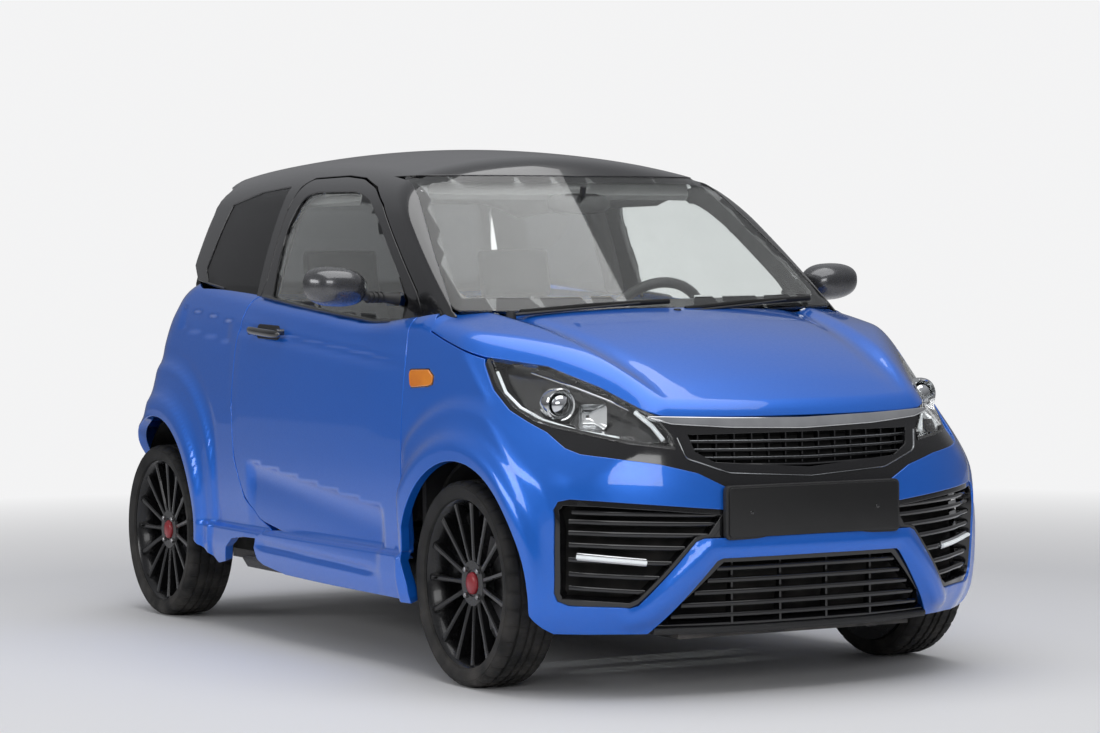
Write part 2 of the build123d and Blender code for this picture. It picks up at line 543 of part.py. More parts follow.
# ---------------------------------------------------------------- cabin frame and glass
screen_hole = front_prism(SCREEN_OUTLINE, -900, 0, 0)
roof = (CABIN - CABIN_IN) - OPENING_PRISM - mirrored(OPENING_PRISM) - screen_hole - TAILGATE_OPENING
roof -= grown_prism(QUARTER_GLASS_OUTLINE, -900, 900, 0)
roof -= LOWER
roof -= box(-900, 900, -FAR, FAR, 800, 940)
roof -= extrude(Plane.XY.offset(500) * offset(BONNET_PLAN, PANEL_GAP, kind=Kind.INTERSECTION), 700)
roof = biggest(roof)
ty, tz = TAILGATE_AXIS
for side in (1, -1):
    mid = side * (TAILGATE_HINGE_X[0] + TAILGATE_HINGE_X[1]) / 2
    roof += disc_x(mid - 25, mid + 25, ty, tz, PIN_R)
    roof += disc_x(mid - HINGE_LUG / 2, mid + HINGE_LUG / 2, ty, tz, HINGE_INSET - 1)
    roof += box(mid - HINGE_LUG / 2, mid + HINGE_LUG / 2, TAILGATE_SPLIT_Y - PANEL_GAP - 15, ty, tz - 3, tz + 3)
parts["roof_frame"] = roof
parts["windscreen"] = biggest(GLASS_SKIN & front_prism(SCREEN_OUTLINE, -900, 0, -SEAM) - LOWER - cowl)
gate = (CABIN & TAILGATE_PRISM) - cabin(LID_WALL)
gate += (LOWER & TAILGATE_PRISM & box(-900, 900, 1150, 1700, 0, 1200)) - LOWER_LID
gate -= box(-560, 560, 1000, 1250, 700, 1064)
gate -= front_prism(REAR_GLASS_OUTLINE, 1150, 1700, 0) & box(-900, 900, 1150, 1700, 1020, 1330)
for side in (1, -1):
    mid = side * (TAILGATE_HINGE_X[0] + TAILGATE_HINGE_X[1]) / 2
    gate -= disc_x(mid - 26, mid + 26, ty, tz, PIN_R + PIN_CLEARANCE)
    gate -= disc_x(mid - HINGE_LUG / 2 - 1, mid + HINGE_LUG / 2 + 1, ty, tz, LUG_SWEEP)
gate = biggest(gate)
parts["tailgate"] = gate
rear_glass = GLASS_SKIN & front_prism(REAR_GLASS_OUTLINE, 1150, 1700, -SEAM)
parts["tailgate_glass"] = biggest(rear_glass - gate)
rear = (LOWER & BUMPER_BACK) - LOWER_IN
for ring in (FLARES[1], mirrored(FLARES[1])):
    rear += ring & BUMPER_BACK
for cut in (ARCH_CUTS[1], mirrored(ARCH_CUTS[1])):
    rear -= cut
parts["rear_bumper"] = biggest(rear - box(-900, 900, 1200, 1700, BUMPER_SPLIT_Z - SEAM, 700) )

# ---------------------------------------------------------------- under the skin
LOWER_CLEAR = lower_body(BODY_WALL + SEAM)
RAIL_X, RAIL_WIDTH, RAIL_Z = 300, 50, (150, FLOOR_Z - SEAM)
BULKHEAD_Y = (-582, -560)
BOOT_FLOOR_Z = 384
FLOOR_STEP_Y = 900

floor = box(-650, 650, BULKHEAD_Y[0], FLOOR_STEP_Y, FLOOR_Z, FLOOR_Z + FLOOR_WALL) & LOWER_CLEAR
floor -= ARCH_CUTS[1] + mirrored(ARCH_CUTS[1])
floor += box(-396, 396, FLOOR_STEP_Y - 22, FLOOR_STEP_Y, FLOOR_Z, BOOT_FLOOR_Z)
floor += box(-396, 396, FLOOR_STEP_Y - 22, 1440, BOOT_FLOOR_Z - 22, BOOT_FLOOR_Z)
floor += box(-646, 646, *BULKHEAD_Y, FLOOR_Z, 960) & LOWER_CLEAR
floor = floor - cowl - parts["rear_bumper"] - parts["front_wings"] - parts["sills"] - parts["rear_quarters"]
parts["floor_pan"] = biggest(floor)
parts["cowl"] = cowl

chassis = box(RAIL_X, RAIL_X + RAIL_WIDTH, -1400, 1400, *RAIL_Z)
chassis += mirrored(chassis)
for y in (-1375, -700, 60, 860):
    chassis += box(-RAIL_X, RAIL_X, y - 25, y + 25, *RAIL_Z)
parts["chassis_frame"] = biggest(chassis - parts["rear_bumper"] - parts["front_bumper"])
CHASSIS = parts["chassis_frame"]

engine = box(-262, 262, -1230, -800, 236, 600)
for y in (-1215, -820):
    engine += box(-RAIL_X - 30, RAIL_X + 30, y - 15, y + 15, FLOOR_Z, 260)
parts["engine_block"] = engine

liner = disc_x(ARCH_INNER_X, FLARE_INNER_X - SEAM, FRONT_AXLE_Y, TYRE_R, FRONT_ARCH_R + LINER_WALL)
liner -= disc_x(ARCH_INNER_X - 1, FLARE_INNER_X + 1, FRONT_AXLE_Y, TYRE_R, FRONT_ARCH_R)
liner -= box(300, 900, FRONT_AXLE_Y - 500, FRONT_AXLE_Y + 500, 0, 310)
rear_y, rear_z, rear_r, _ = ARCHES[1]
back = disc_x(ARCH_INNER_X, FLARE_INNER_X - SEAM, rear_y, rear_z, rear_r + LINER_WALL)
back -= disc_x(ARCH_INNER_X - 1, FLARE_INNER_X + 1, rear_y, rear_z, rear_r)
back -= box(300, 900, rear_y - 500, rear_y + 500, 0, 450)
liner = liner - wing - parts["floor_pan"] - lamp - front_bumper - parts["side_intakes"]
back = back - quarter - parts["rear_bumper"] - parts["floor_pan"]
parts["arch_liners"] = Compound(children=[*both(biggest(liner)).solids(), *both(biggest(back)).solids()])

ARM_R = 12
EYE_HEIGHT = 8
low_z, high_z = TYRE_R - STEER_ARM_Z, TYRE_R + STEER_ARM_Z
tower = box(RAIL_X + 2, RAIL_X + 84, FRONT_AXLE_Y - 36, FRONT_AXLE_Y + 36, FLOOR_Z, high_z + 34)
lower_arm = rod((RAIL_X + RAIL_WIDTH + SEAM, FRONT_AXLE_Y, low_z + 1), (STEER_X - 15, FRONT_AXLE_Y, low_z + 1), ARM_R - 2)
upper_arm = rod((RAIL_X + 60, FRONT_AXLE_Y, high_z), (STEER_X - 15, FRONT_AXLE_Y, high_z), ARM_R)
suspension = tower + upper_arm
for arm_z in (low_z, high_z):
    eye = rod((STEER_X, FRONT_AXLE_Y, arm_z - EYE_HEIGHT), (STEER_X, FRONT_AXLE_Y, arm_z + EYE_HEIGHT), 18)
    if arm_z == low_z:
        lower_arm += eye
    else:
        suspension += eye
    hole = rod((STEER_X, FRONT_AXLE_Y, arm_z - 20), (STEER_X, FRONT_AXLE_Y, arm_z + 20), 7 + PIN_CLEARANCE)
    lower_arm -= hole
    suspension -= hole
parts["front_suspension"] = Compound(children=[*both(biggest(suspension)).solids(), *both(biggest(lower_arm)).solids()])

AXLE_STUB_R = 12
knuckle = rod((STEER_X, FRONT_AXLE_Y, low_z + EYE_HEIGHT + PIN_CLEARANCE),
              (STEER_X, FRONT_AXLE_Y, high_z - EYE_HEIGHT - PIN_CLEARANCE), STEER_PIN_R)
knuckle += rod((STEER_X, FRONT_AXLE_Y, low_z - 14), (STEER_X, FRONT_AXLE_Y, high_z + 14), 7)
HUB_X = WHEEL_X + HUB_FACE - PIN_CLEARANCE
hub = disc_x(STEER_X, HUB_X, FRONT_AXLE_Y, TYRE_R, 30)
hub += disc_x(HUB_X - 12, HUB_X, FRONT_AXLE_Y, TYRE_R, 54)
hub += disc_x(HUB_X - 34, HUB_X - 24, FRONT_AXLE_Y, TYRE_R, 120)
hub += disc_x(HUB_X - 2, HUB_X + 24, FRONT_AXLE_Y, TYRE_R, AXLE_STUB_R)
knuckle += hub
parts["knuckle_left"] = biggest(knuckle)

axle = disc_x(-HUB_X, HUB_X, REAR_AXLE_Y, TYRE_R, 28)
axle -= disc_x(HUB_X, HUB_X + 1, REAR_AXLE_Y, TYRE_R, 40)
for sign in (1, -1):
    for near, far, radius in ((HUB_X - 60, HUB_X - 22, 96), (HUB_X - 12, HUB_X, 54), (HUB_X - 2, HUB_X + 24, AXLE_STUB_R)):
        x0, x1 = sorted((sign * near, sign * far))
        axle += disc_x(x0, x1, REAR_AXLE_Y, TYRE_R, radius)
    x0, x1 = sorted((sign * (RAIL_X + 2), sign * (RAIL_X + RAIL_WIDTH - 2)))
    axle += box(x0, x1, REAR_AXLE_Y - 34, REAR_AXLE_Y + 34, FLOOR_Z, TYRE_R)
parts["rear_axle"] = biggest(axle)

muffler = disc_x(-RAIL_X + SEAM, RAIL_X - SEAM, 1335, 236, 62) + rod((-210, 1335, 215), (-210, 1492, 215), 20)
parts["exhaust"] = biggest(muffler - parts["rear_bumper"])

# ---------------------------------------------------------------- cabin furniture
DASH_BACK_Y = BULKHEAD_Y[1] + SEAM
DASH_OUTLINE = [(DASH_BACK_Y, 650), (DASH_BACK_Y, 925), (-430, 915), (-352, 862), (-352, 770), (-420, 650)]
dash = yz_prism(DASH_OUTLINE, -596, 596)
WHEEL_CENTRE = (300, -190, 880)
COLUMN_RAKE = 25.0
STEERING_R = 172
rake = math.radians(COLUMN_RAKE)
column_dir = Vector(0, math.cos(rake), math.sin(rake))
centre = Vector(*WHEEL_CENTRE)
column = rod(tuple(centre - column_dir * 250), tuple(centre - column_dir * (22 + PIN_CLEARANCE)), 24)
column += rod(tuple(centre - column_dir * 60), tuple(centre - column_dir * 4), 9)
dash += column
parts["dashboard"] = biggest(dash - cowl - parts["windscreen"])
ring_plane = Plane(origin=centre, x_dir=(1, 0, 0), z_dir=column_dir)
STEERING_TUBE_R = 14
STEERING_HUB = (46, 36)
spoke_reach = STEERING_R - 4
steering = ring_plane * Torus(STEERING_R, STEERING_TUBE_R)
steering += ring_plane * Pos(0, 0, -4) * Cylinder(*STEERING_HUB)
steering += ring_plane * Box(2 * spoke_reach, 26, 12)
steering += ring_plane * Pos(0, spoke_reach / 2, 0) * Box(24, spoke_reach, 11)
steering -= rod(tuple(centre - column_dir * 70), tuple(centre - column_dir * 2), 9 + PIN_CLEARANCE)
parts["steering_wheel"] = biggest(steering)

SEAT_X = 300
cushion = box(SEAT_X - 225, SEAT_X + 225, 40, 520, FLOOR_Z + FLOOR_WALL + SEAM, 470)
back_outline = [(470, 400), (560, 400), (680, 1000), (600, 1010)]
seat = cushion + yz_prism(back_outline, SEAT_X - 220, SEAT_X + 220)
seat += yz_prism([(612, 1000), (672, 1000), (690, 1130), (630, 1140)], SEAT_X - 120, SEAT_X + 120)
parts["seats"] = both(biggest(seat))

# ---------------------------------------------------------------- wheels, left front, then copied
def tyre():
    """A tyre with square shoulders, about the X axis."""
    half = TYRE_WIDTH / 2
    seat = RIM_SEAT_R + SEAM
    outline = [
        Line((-half + 8, seat), (half - 8, seat)), Line((half - 8, seat), (half - 8, RIM_LIP_R + 2)),
        Line((half - 8, RIM_LIP_R + 2), (half, RIM_LIP_R + 14)),
        Line((half, RIM_LIP_R + 14), (half - 4, TYRE_R - TYRE_SHOULDER_R)),
        ThreePointArc((half - 4, TYRE_R - TYRE_SHOULDER_R), (half - 10, TYRE_R - 8), (half - 24, TYRE_R)),
        Line((half - 24, TYRE_R), (24 - half, TYRE_R)),
        ThreePointArc((24 - half, TYRE_R), (10 - half, TYRE_R - 8), (4 - half, TYRE_R - TYRE_SHOULDER_R)),
        Line((4 - half, TYRE_R - TYRE_SHOULDER_R), (-half, RIM_LIP_R + 14)),
        Line((-half, RIM_LIP_R + 14), (8 - half, RIM_LIP_R + 2)), Line((8 - half, RIM_LIP_R + 2), (8 - half, seat))]
    return revolve(make_face(outline), Axis.X, 360)


def rim():
    """A barrel with lips, a hub and evenly spaced spokes, about the X axis."""
    half = TYRE_WIDTH / 2 - 8 + SEAM
    inner = RIM_SEAT_R - RIM_BARREL_WALL
    barrel = rod((-half - 5, 0, 0), (half + 5, 0, 0), RIM_SEAT_R)
    barrel += rod((half, 0, 0), (half + 5, 0, 0), RIM_LIP_R) + rod((-half - 5, 0, 0), (-half, 0, 0), RIM_LIP_R)
    barrel -= rod((-half - 20, 0, 0), (half + 20, 0, 0), inner)
    body = barrel + rod((HUB_FACE, 0, 0), (52, 0, 0), 58)
    blade = xy_prism([(26, 50), (50, 50), (62, inner + 4), (36, inner + 4)], -8, 8)
    for index in range(SPOKES):
        body += blade.rotate(Axis.X, 360 / SPOKES * index)
    body -= rod((0, 0, 0), (HUB_FACE + 26, 0, 0), AXLE_STUB_R + PIN_CLEARANCE)
    return body


TYRE, RIM = tyre(), biggest(rim())
WHEELS = [("front_left", 1, FRONT_AXLE_Y), ("front_right", -1, FRONT_AXLE_Y),
          ("rear_left", 1, REAR_AXLE_Y), ("rear_right", -1, REAR_AXLE_Y)]
for name, sign, y in WHEELS:
    for kind, piece in (("tyre", TYRE), ("rim", RIM)):
        placed = Pos(WHEEL_X, y, TYRE_R) * piece
        parts[f"{kind}_{name}"] = placed if sign > 0 else mirrored(placed)


# ---------------------------------------------------------------- wipers
def screen_point(x, along, lift):
    """A point over the windscreen: across, up the slope from its foot, and off the glass."""
    slope = math.radians(SCREEN_SLOPE)
    off = lift - x**2 / (2 * SCREEN_R)
    return (x, SCREEN_FOOT[0] + along * math.cos(slope) - off * math.sin(slope),
            SCREEN_FOOT[1] + along * math.sin(slope) + off * math.cos(slope))


WIPERS = [((-60, 22), (-420, 60)), ((420, 34), (-20, 46))]  # pivot and tip: x, along
wipers = []
for pivot, tip in WIPERS:
    start, end = screen_point(*pivot, 14), screen_point(*tip, 9)
    arm = rod(start, end, 6)
    arm += rod((start[0], start[1] - 4, start[2] - 60), (start[0], start[1] - 4, start[2] + 4), 10)
    wipers.append(biggest(arm - LOWER - CABIN))
parts["wipers"] = Compound(children=wipers)

for name in ("door", "door_glass", "door_handle", "mirror", "knuckle"):
    parts[f"{name}_right"] = mirrored(parts[f"{name}_left"])

os.makedirs("parts", exist_ok=True)
for name, piece in parts.items():
    solids = piece.solids()
    export_step(solids[0] if len(solids) == 1 else Compound(children=list(solids)), f"parts/{name}.step")
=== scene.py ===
"""Looks of a two-seat microcar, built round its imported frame.

Lengths are metres. The front points to -Y, the car's left is +X and Z is up.

The body and the cabin are two smooth skins, each a field that is negative inside. Sheets are flat outlines
that a Caster throws onto a skin and a Panel meshes. Everything else is gathered in Lumps of simple parts.
"""

import json
import logging
import math
from dataclasses import dataclass, field
from enum import Enum
from typing import Callable, Sequence

import bmesh
import bpy
import numpy as np
from mathutils import Matrix, Vector
from mathutils.geometry import delaunay_2d_cdt

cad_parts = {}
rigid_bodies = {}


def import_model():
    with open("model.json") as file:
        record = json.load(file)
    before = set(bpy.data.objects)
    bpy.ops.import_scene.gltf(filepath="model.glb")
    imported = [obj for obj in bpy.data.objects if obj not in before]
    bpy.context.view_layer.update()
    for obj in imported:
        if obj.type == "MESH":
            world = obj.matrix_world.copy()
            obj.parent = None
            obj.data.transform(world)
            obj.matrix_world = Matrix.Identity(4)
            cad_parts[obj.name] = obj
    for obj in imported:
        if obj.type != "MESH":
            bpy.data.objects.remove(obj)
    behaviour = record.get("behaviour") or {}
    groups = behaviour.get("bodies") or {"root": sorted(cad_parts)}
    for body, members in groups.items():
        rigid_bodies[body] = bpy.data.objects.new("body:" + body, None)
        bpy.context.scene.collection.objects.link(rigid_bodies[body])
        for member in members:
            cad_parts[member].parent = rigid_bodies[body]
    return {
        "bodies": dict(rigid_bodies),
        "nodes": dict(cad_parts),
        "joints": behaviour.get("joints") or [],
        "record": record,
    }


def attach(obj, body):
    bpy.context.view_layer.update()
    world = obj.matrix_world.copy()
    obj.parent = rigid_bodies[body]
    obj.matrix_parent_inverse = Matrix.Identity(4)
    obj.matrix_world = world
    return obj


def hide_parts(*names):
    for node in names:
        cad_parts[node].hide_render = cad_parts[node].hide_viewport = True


LOG = logging.getLogger("microcar")
Array = np.ndarray
Point2 = tuple[float, float]
Point3 = tuple[float, float, float]
Sockets = dict[str, bpy.types.NodeSocket]
FRONT_AXLE_Y = -0.91
REAR_AXLE_Y = 1.156
WHEEL_Z = 0.268
TYRE_MIDDLE_X = 0.635
TINY = 1e-12
FAR = 1e9


# ------------------------------------------------------------------ fields and outlines
def smooth_max(a: Array, b: Array, radius: float) -> Array:
    """Blend two fields' maximum, which rounds the edge where their surfaces meet.

    Args:
        a: First field, negative inside.
        b: Second field, negative inside.
        radius: Width of the blend.

    Returns:
        The blended field.
    """
    near = np.maximum(radius - np.abs(a - b), 0.0) / radius
    return np.maximum(a, b) + near * near * radius / 4


def ramp(t: Array) -> Array:
    """Rise smoothly from 0 at t = 0 to 1 at t = 1."""
    t = np.clip(t, 0.0, 1.0)
    return t * t * (3 - 2 * t)


def bell(t: Array) -> Array:
    """Peak of height 1 at t = 0 that has died away by |t| = 2."""
    return np.exp(-t * t)


@dataclass(frozen=True)
class Profile:
    """A smooth curve of one value over another, through a few knots."""

    knots: tuple[Point2, ...]

    def __call__(self, t: Array) -> Array:
        """Value at t by cubic pieces, held level outside the knots."""
        at = np.array([k[0] for k in self.knots])
        value = np.array([k[1] for k in self.knots])
        slope = np.gradient(value, at)
        t = np.clip(t, at[0], at[-1])
        i = np.clip(np.searchsorted(at, t, side="right") - 1, 0, len(at) - 2)
        width = at[i + 1] - at[i]
        s = (t - at[i]) / width
        low = (2 * s**3 - 3 * s**2 + 1) * value[i] + (s**3 - 2 * s**2 + s) * width * slope[i]
        high = (3 * s**2 - 2 * s**3) * value[i + 1] + (s**3 - s**2) * width * slope[i + 1]
        return low + high


def fillet(points: Sequence[Point2], radius: float | Sequence[float], arc_step: float = 0.25) -> list[Point2]:
    """Round the corners of a closed outline.

    Args:
        points: Corners in order.
        radius: One radius for all the corners, or one for each.
        arc_step: Angle between the arc's points, in radians.

    Returns:
        The outline's points.
    """
    count = len(points)
    radii = [radius] * count if isinstance(radius, (int, float)) else list(radius)
    out: list[Point2] = []
    for i, corner in enumerate(points):
        here = Vector(corner)
        back = Vector(points[i - 1]) - here
        ahead = Vector(points[(i + 1) % count]) - here
        angle = back.angle(ahead, math.pi)
        if radii[i] <= 0 or angle > math.pi - 0.02:
            out.append((here.x, here.y))
            continue
        reach = min(radii[i] / math.tan(angle / 2), back.length * 0.49, ahead.length * 0.49)
        r = reach * math.tan(angle / 2)
        centre = here + (back.normalized() + ahead.normalized()).normalized() * (r / math.sin(angle / 2))
        start = here + back.normalized() * reach - centre
        sweep = math.pi - angle
        turn = -1.0 if back.x * ahead.y - back.y * ahead.x > 0 else 1.0
        pieces = max(2, math.ceil(sweep / arc_step))
        for k in range(pieces + 1):
            a = turn * sweep * k / pieces
            out.append((centre.x + start.x * math.cos(a) - start.y * math.sin(a),
                centre.y + start.x * math.sin(a) + start.y * math.cos(a)))
    return out


def arc(centre: Point2, radius: float, start: float, end: float, count: int = 24) -> list[Point2]:
    """Points of an arc, its angles in degrees."""
    return [(centre[0] + radius * math.cos(math.radians(start + (end - start) * k / count)),
        centre[1] + radius * math.sin(math.radians(start + (end - start) * k / count)))
        for k in range(count + 1)]


def inside(points: Array, outline: Array) -> Array:
    """Whether each point lies inside a closed outline.

    Args:
        points: (N, 2) points.
        outline: (M, 2) corners.

    Returns:
        N booleans.
    """
    x, y = points[:, :1], points[:, 1:]
    x0, y0 = outline[:, 0], outline[:, 1]
    x1, y1 = np.roll(x0, -1), np.roll(y0, -1)
    crosses = (y0 > y) != (y1 > y)
    rise = np.where(np.abs(y1 - y0) < TINY, TINY, y1 - y0)
    left = x < (x1 - x0) * (y - y0) / rise + x0
    return (crosses & left).sum(axis=1) % 2 == 1


def run_distance(points: Array, starts: Array, ends: Array) -> Array:
    """Distance of each point from the nearest of some straight pieces."""
    best = np.full(len(points), FAR)
    for a, b in zip(starts, ends):
        along = b - a
        length = max(float(along @ along), TINY)
        t = np.clip((points - a) @ along / length, 0, 1)
        best = np.minimum(best, np.linalg.norm(points - a - t[:, None] * along, axis=1))
    return best


def open_run(points: Sequence[Point2], step: float = 0.02) -> list[Point2]:
    """Points along an open run of lines, at most a step apart."""
    out: list[Point2] = []
    for a, b in zip(points, points[1:]):
        count = max(1, math.ceil(math.dist(a, b) / step))
        out += [(a[0] + (b[0] - a[0]) * k / count, a[1] + (b[1] - a[1]) * k / count) for k in range(count)]
    return [*out, tuple(points[-1])]


def dense(points: Sequence[Point2], step: float) -> list[Point2]:
    """Split the sides of a closed outline to at most a step."""
    return open_run([*points, points[0]], step)[:-1]


def mirror_run(points: Sequence[Point2]) -> list[Point2]:
    """A run carried to the other side of the car and taken backwards."""
    return [(-u, v) for u, v in reversed(points)]


def turns(count: int) -> list[float]:
    """Angles that share a full turn evenly."""
    return [2 * math.pi * k / count for k in range(count)]


def signed_power(value: float, power: float) -> float:
    """A power that keeps the sign, which squares off a sine or cosine."""
    return math.copysign(abs(value) ** power, value)


def trapezoid(low_half: float, low: float, high_half: float, high: float) -> list[Point2]:
    """Corners of a four-sided outline that is even about the middle."""
    return [(-low_half, low), (low_half, low), (high_half, high), (-high_half, high)]


def side_word(sign: float) -> str:
    """The name of the side that a sign stands for."""
    return "left" if sign > 0 else "right"


# ------------------------------------------------------------------ body skin
@dataclass(frozen=True)
class WheelFlare:
    """The raised band round a wheel arch: a wide lip, a step and a soft shoulder."""

    lip_y: float
    lip_z: float
    lip_r: float
    outer_y: float
    outer_z: float
    outer_r: float
    narrowing: float
    rise: Profile = Profile(((-0.3, 0.0), (-0.06, 0.0), (0.02, 0.0035), (0.1, 0.0105), (0.3, 0.015),
        (0.5, 0.02), (0.6, 0.0265), (0.67, 0.0345), (0.74, 0.0385), (1.0, 0.04), (1.3, 0.04)))

    def height(self, y: Array, z: Array) -> Array:
        """How far the band stands out of the side at (y, z)."""
        across, up = y - self.outer_y, z - self.outer_z
        reach = np.hypot(across, up)
        low = ramp((0.75 - np.arctan2(up, np.abs(across) + 1e-9)) / 1.1)
        outer = self.outer_r - self.narrowing * low
        lip = np.hypot(y - self.lip_y, z - self.lip_z)
        t = (outer - reach) / np.maximum(outer - self.lip_r, 0.03)
        t = np.where(lip < self.lip_r, np.maximum(t, 1.0), t)
        return self.rise(t)


@dataclass(frozen=True)
class BodySkin:
    """The smooth outer shape of the lower body as a field that is negative inside."""

    section: Profile = Profile(((0.12, 0.64), (0.165, 0.68), (0.205, 0.698), (0.26, 0.702), (0.33, 0.704),
        (0.445, 0.711), (0.56, 0.7125), (0.68, 0.7085), (0.79, 0.7), (0.87, 0.6915), (0.93, 0.682),
        (0.985, 0.665), (1.06, 0.632), (1.14, 0.59)))
    nose: Profile = Profile(((0.12, 0.075), (0.182, 0.046), (0.23, 0.026), (0.3, 0.009), (0.4, 0.001),
        (0.47, 0.0), (0.54, 0.006), (0.6, 0.018), (0.712, 0.05), (0.85, 0.055)))
    tail: Profile = Profile(((0.12, 1.43), (0.182, 1.46), (0.225, 1.478), (0.33, 1.496), (0.48, 1.5),
        (0.56, 1.497), (0.59, 1.487), (0.618, 1.448), (0.7, 1.428), (0.865, 1.38), (0.96, 1.325),
        (1.01, 1.285), (1.07, 1.15)))
    belt: Profile = Profile(((-0.7, 0.975), (-0.64, 0.968), (-0.476, 0.953), (-0.32, 0.945), (0.1, 0.978),
        (0.56, 1.018), (0.984, 1.056), (1.15, 1.07), (1.3, 1.072)))
    bonnet: Profile = Profile(((-1.52, 0.65), (-1.44, 0.722), (-1.34, 0.785), (-1.22, 0.842), (-1.1, 0.888),
        (-0.95, 0.932), (-0.8, 0.965), (-0.65, 0.99), (-0.5, 1.0)))
    front_flare: WheelFlare = WheelFlare(-0.91, 0.268, 0.322, -0.893, 0.272, 0.47, 0.03)
    rear_flare: WheelFlare = WheelFlare(1.131, 0.308, 0.322, 1.135, 0.305, 0.497, 0.095)
    lamp_point: Point3 = (0.64, -0.94, 0.858)
    lamp_normal: Point3 = (0.634, -0.501, 0.588)
    nose_depth: float = 0.366
    nose_start: float = -1.12
    tail_depth: float = 0.29
    nose_power: float = 2.6
    tail_power: float = 3.0
    split_y: float = 0.2
    edge: float = 0.035
    lamp_edge: float = 0.022

    def side(self, y: Array, z: Array) -> Array:
        """Half-width of the body at (y, z), with its flares, creases and sill.

        Args:
            y: Places along the car.
            z: Heights.

        Returns:
            Half-widths.
        """
        x = self.section(z) - (y - 0.15) ** 2 / 48
        x = x + self.front_flare.height(y, z) * ramp((-0.554 - y) / 0.05)
        x = x + self.rear_flare.height(y, z) * ramp((y - 0.64) / 0.1)
        # shoulder crease through the handle
        line = 0.862 + 0.079 * (y + 0.05)
        fade = ramp((y + 0.62) / 0.3) * ramp((0.62 - y) / 0.1)
        x = x - 0.0055 * bell((z - line) / 0.016) * fade
        x = x + 0.004 * ramp((line + 0.05 - z) / 0.05) * fade * ramp((z - 0.62) / 0.2)
        # scoop in the lower door under a sharp crease
        line = 0.441 + 0.0945 * (y + 0.434)
        below = np.maximum(line - z, 0.0) / 0.045
        fade = ramp((y + 0.455) / 0.05) * ramp((0.47 - y) / 0.06)
        x = x - 0.0135 * below * np.exp(1 - below) * fade
        # recess behind the door
        centre_z = 0.915 + 0.09 * (y - 0.82)
        off = np.maximum(np.abs(y - 0.84) / 0.245, np.abs(z - centre_z) / 0.036)
        x = x - 0.0045 * ramp((1.0 - off) / 0.28) * ramp((y - 0.56) / 0.12)
        return x + self.sill(y, z)

    def sill(self, y: Array, z: Array) -> Array:
        """How far the sill's ledge stands out under the door, with its long groove."""
        between = ramp((y + 0.66) / 0.08) * ramp((0.8 - y) / 0.09)
        ledge = 0.018 * ramp((0.327 - z) / 0.012) * between
        tuck = 0.01 * ramp((0.27 - z) / 0.07) * between
        groove = 0.0075 * bell((z - 0.27 - 0.026 * (y + 0.02)) / 0.0125)
        groove = groove * ramp((y + 0.45) / 0.12) * ramp((0.41 - y) / 0.1)
        return ledge - groove - tuck

    def bonnet_top(self, x: Array, y: Array) -> Array:
        """Height of the bonnet at (x, y), its outer thirds raised by soft creases."""
        a = np.abs(x)
        crease = 0.4 + 0.155 * (y + 1.1)
        raised = 0.013 * ramp((a - crease) / 0.055) * ramp((y + 1.46) / 0.22)
        valley = 0.0045 * bell((a - crease + 0.012) / 0.03) * ramp((y + 1.44) / 0.25)
        return self.bonnet(y) - a * a / 9.5 - 0.045 * a**4 + raised - valley

    def __call__(self, p: Array) -> Array:
        """Field at (N, 3) points."""
        x, y, z = p[:, 0], p[:, 1], p[:, 2]
        a = np.abs(x)
        half = self.side(y, z)
        ahead = np.maximum(self.nose_start + self.nose(z) - y, 0.0) / self.nose_depth
        plan = ((a / half) ** self.nose_power + ahead**self.nose_power) ** (1 / self.nose_power) - 1
        behind = np.maximum(y - self.tail(z) + self.tail_depth, 0.0) / self.tail_depth
        plan_rear = ((a / half) ** self.tail_power + behind**self.tail_power) ** (1 / self.tail_power) - 1
        out = np.where(y < self.split_y, plan * 0.45, plan_rear * 0.4)
        top = z - self.bonnet_top(x, y)
        rear_top = z - self.belt(y)
        mix = ramp((y + 0.7) / 0.1)
        out = smooth_max(out, (top * (1 - mix) + rear_top * mix) * 0.8, self.edge)
        nx, ny, nz = self.lamp_normal
        px, py, pz = self.lamp_point
        facet = (a - px) * nx + (y - py) * ny + (z - pz) * nz
        return smooth_max(out, facet, self.lamp_edge)


@dataclass(frozen=True)
class CabinSkin:
    """The smooth outer shape of the cabin above the belt, negative inside."""

    section: Profile = Profile(((0.88, 0.672), (0.96, 0.655), (1.06, 0.631), (1.155, 0.603), (1.26, 0.565),
        (1.352, 0.52), (1.42, 0.47), (1.47, 0.42)))
    tail: Profile = Profile(((0.9, 1.305), (1.006, 1.292), (1.18, 1.243), (1.3, 1.212), (1.335, 1.205),
        (1.372, 1.222), (1.395, 1.222), (1.43, 1.185), (1.48, 1.12)))
    screen_foot: Point2 = (-0.735, 0.985)
    screen_slope: float = math.radians(36.0)
    roof_top: Point2 = (0.56, 1.445)
    roof_edge: float = 0.075
    screen_edge: float = 0.03
    rear_edge: float = 0.045

    def __call__(self, p: Array) -> Array:
        """Field at (N, 3) points."""
        x, y, z = p[:, 0], p[:, 1], p[:, 2]
        a = np.abs(x)
        side = a - self.section(z) + (y - 0.15) ** 2 / 18
        roof = z - (self.roof_top[1] - (y - self.roof_top[0]) ** 2 / 12 - x * x / 3.8)
        out = smooth_max(side, roof * 0.97, self.roof_edge)
        dy, dz = y - self.screen_foot[0], z - self.screen_foot[1]
        screen = -dy * math.sin(self.screen_slope) + dz * math.cos(self.screen_slope) + x * x / 8.98
        out = smooth_max(out, screen, self.screen_edge)
        rear = y - self.tail(z) + x * x / 9.0
        return smooth_max(out, rear * 0.96, self.rear_edge)


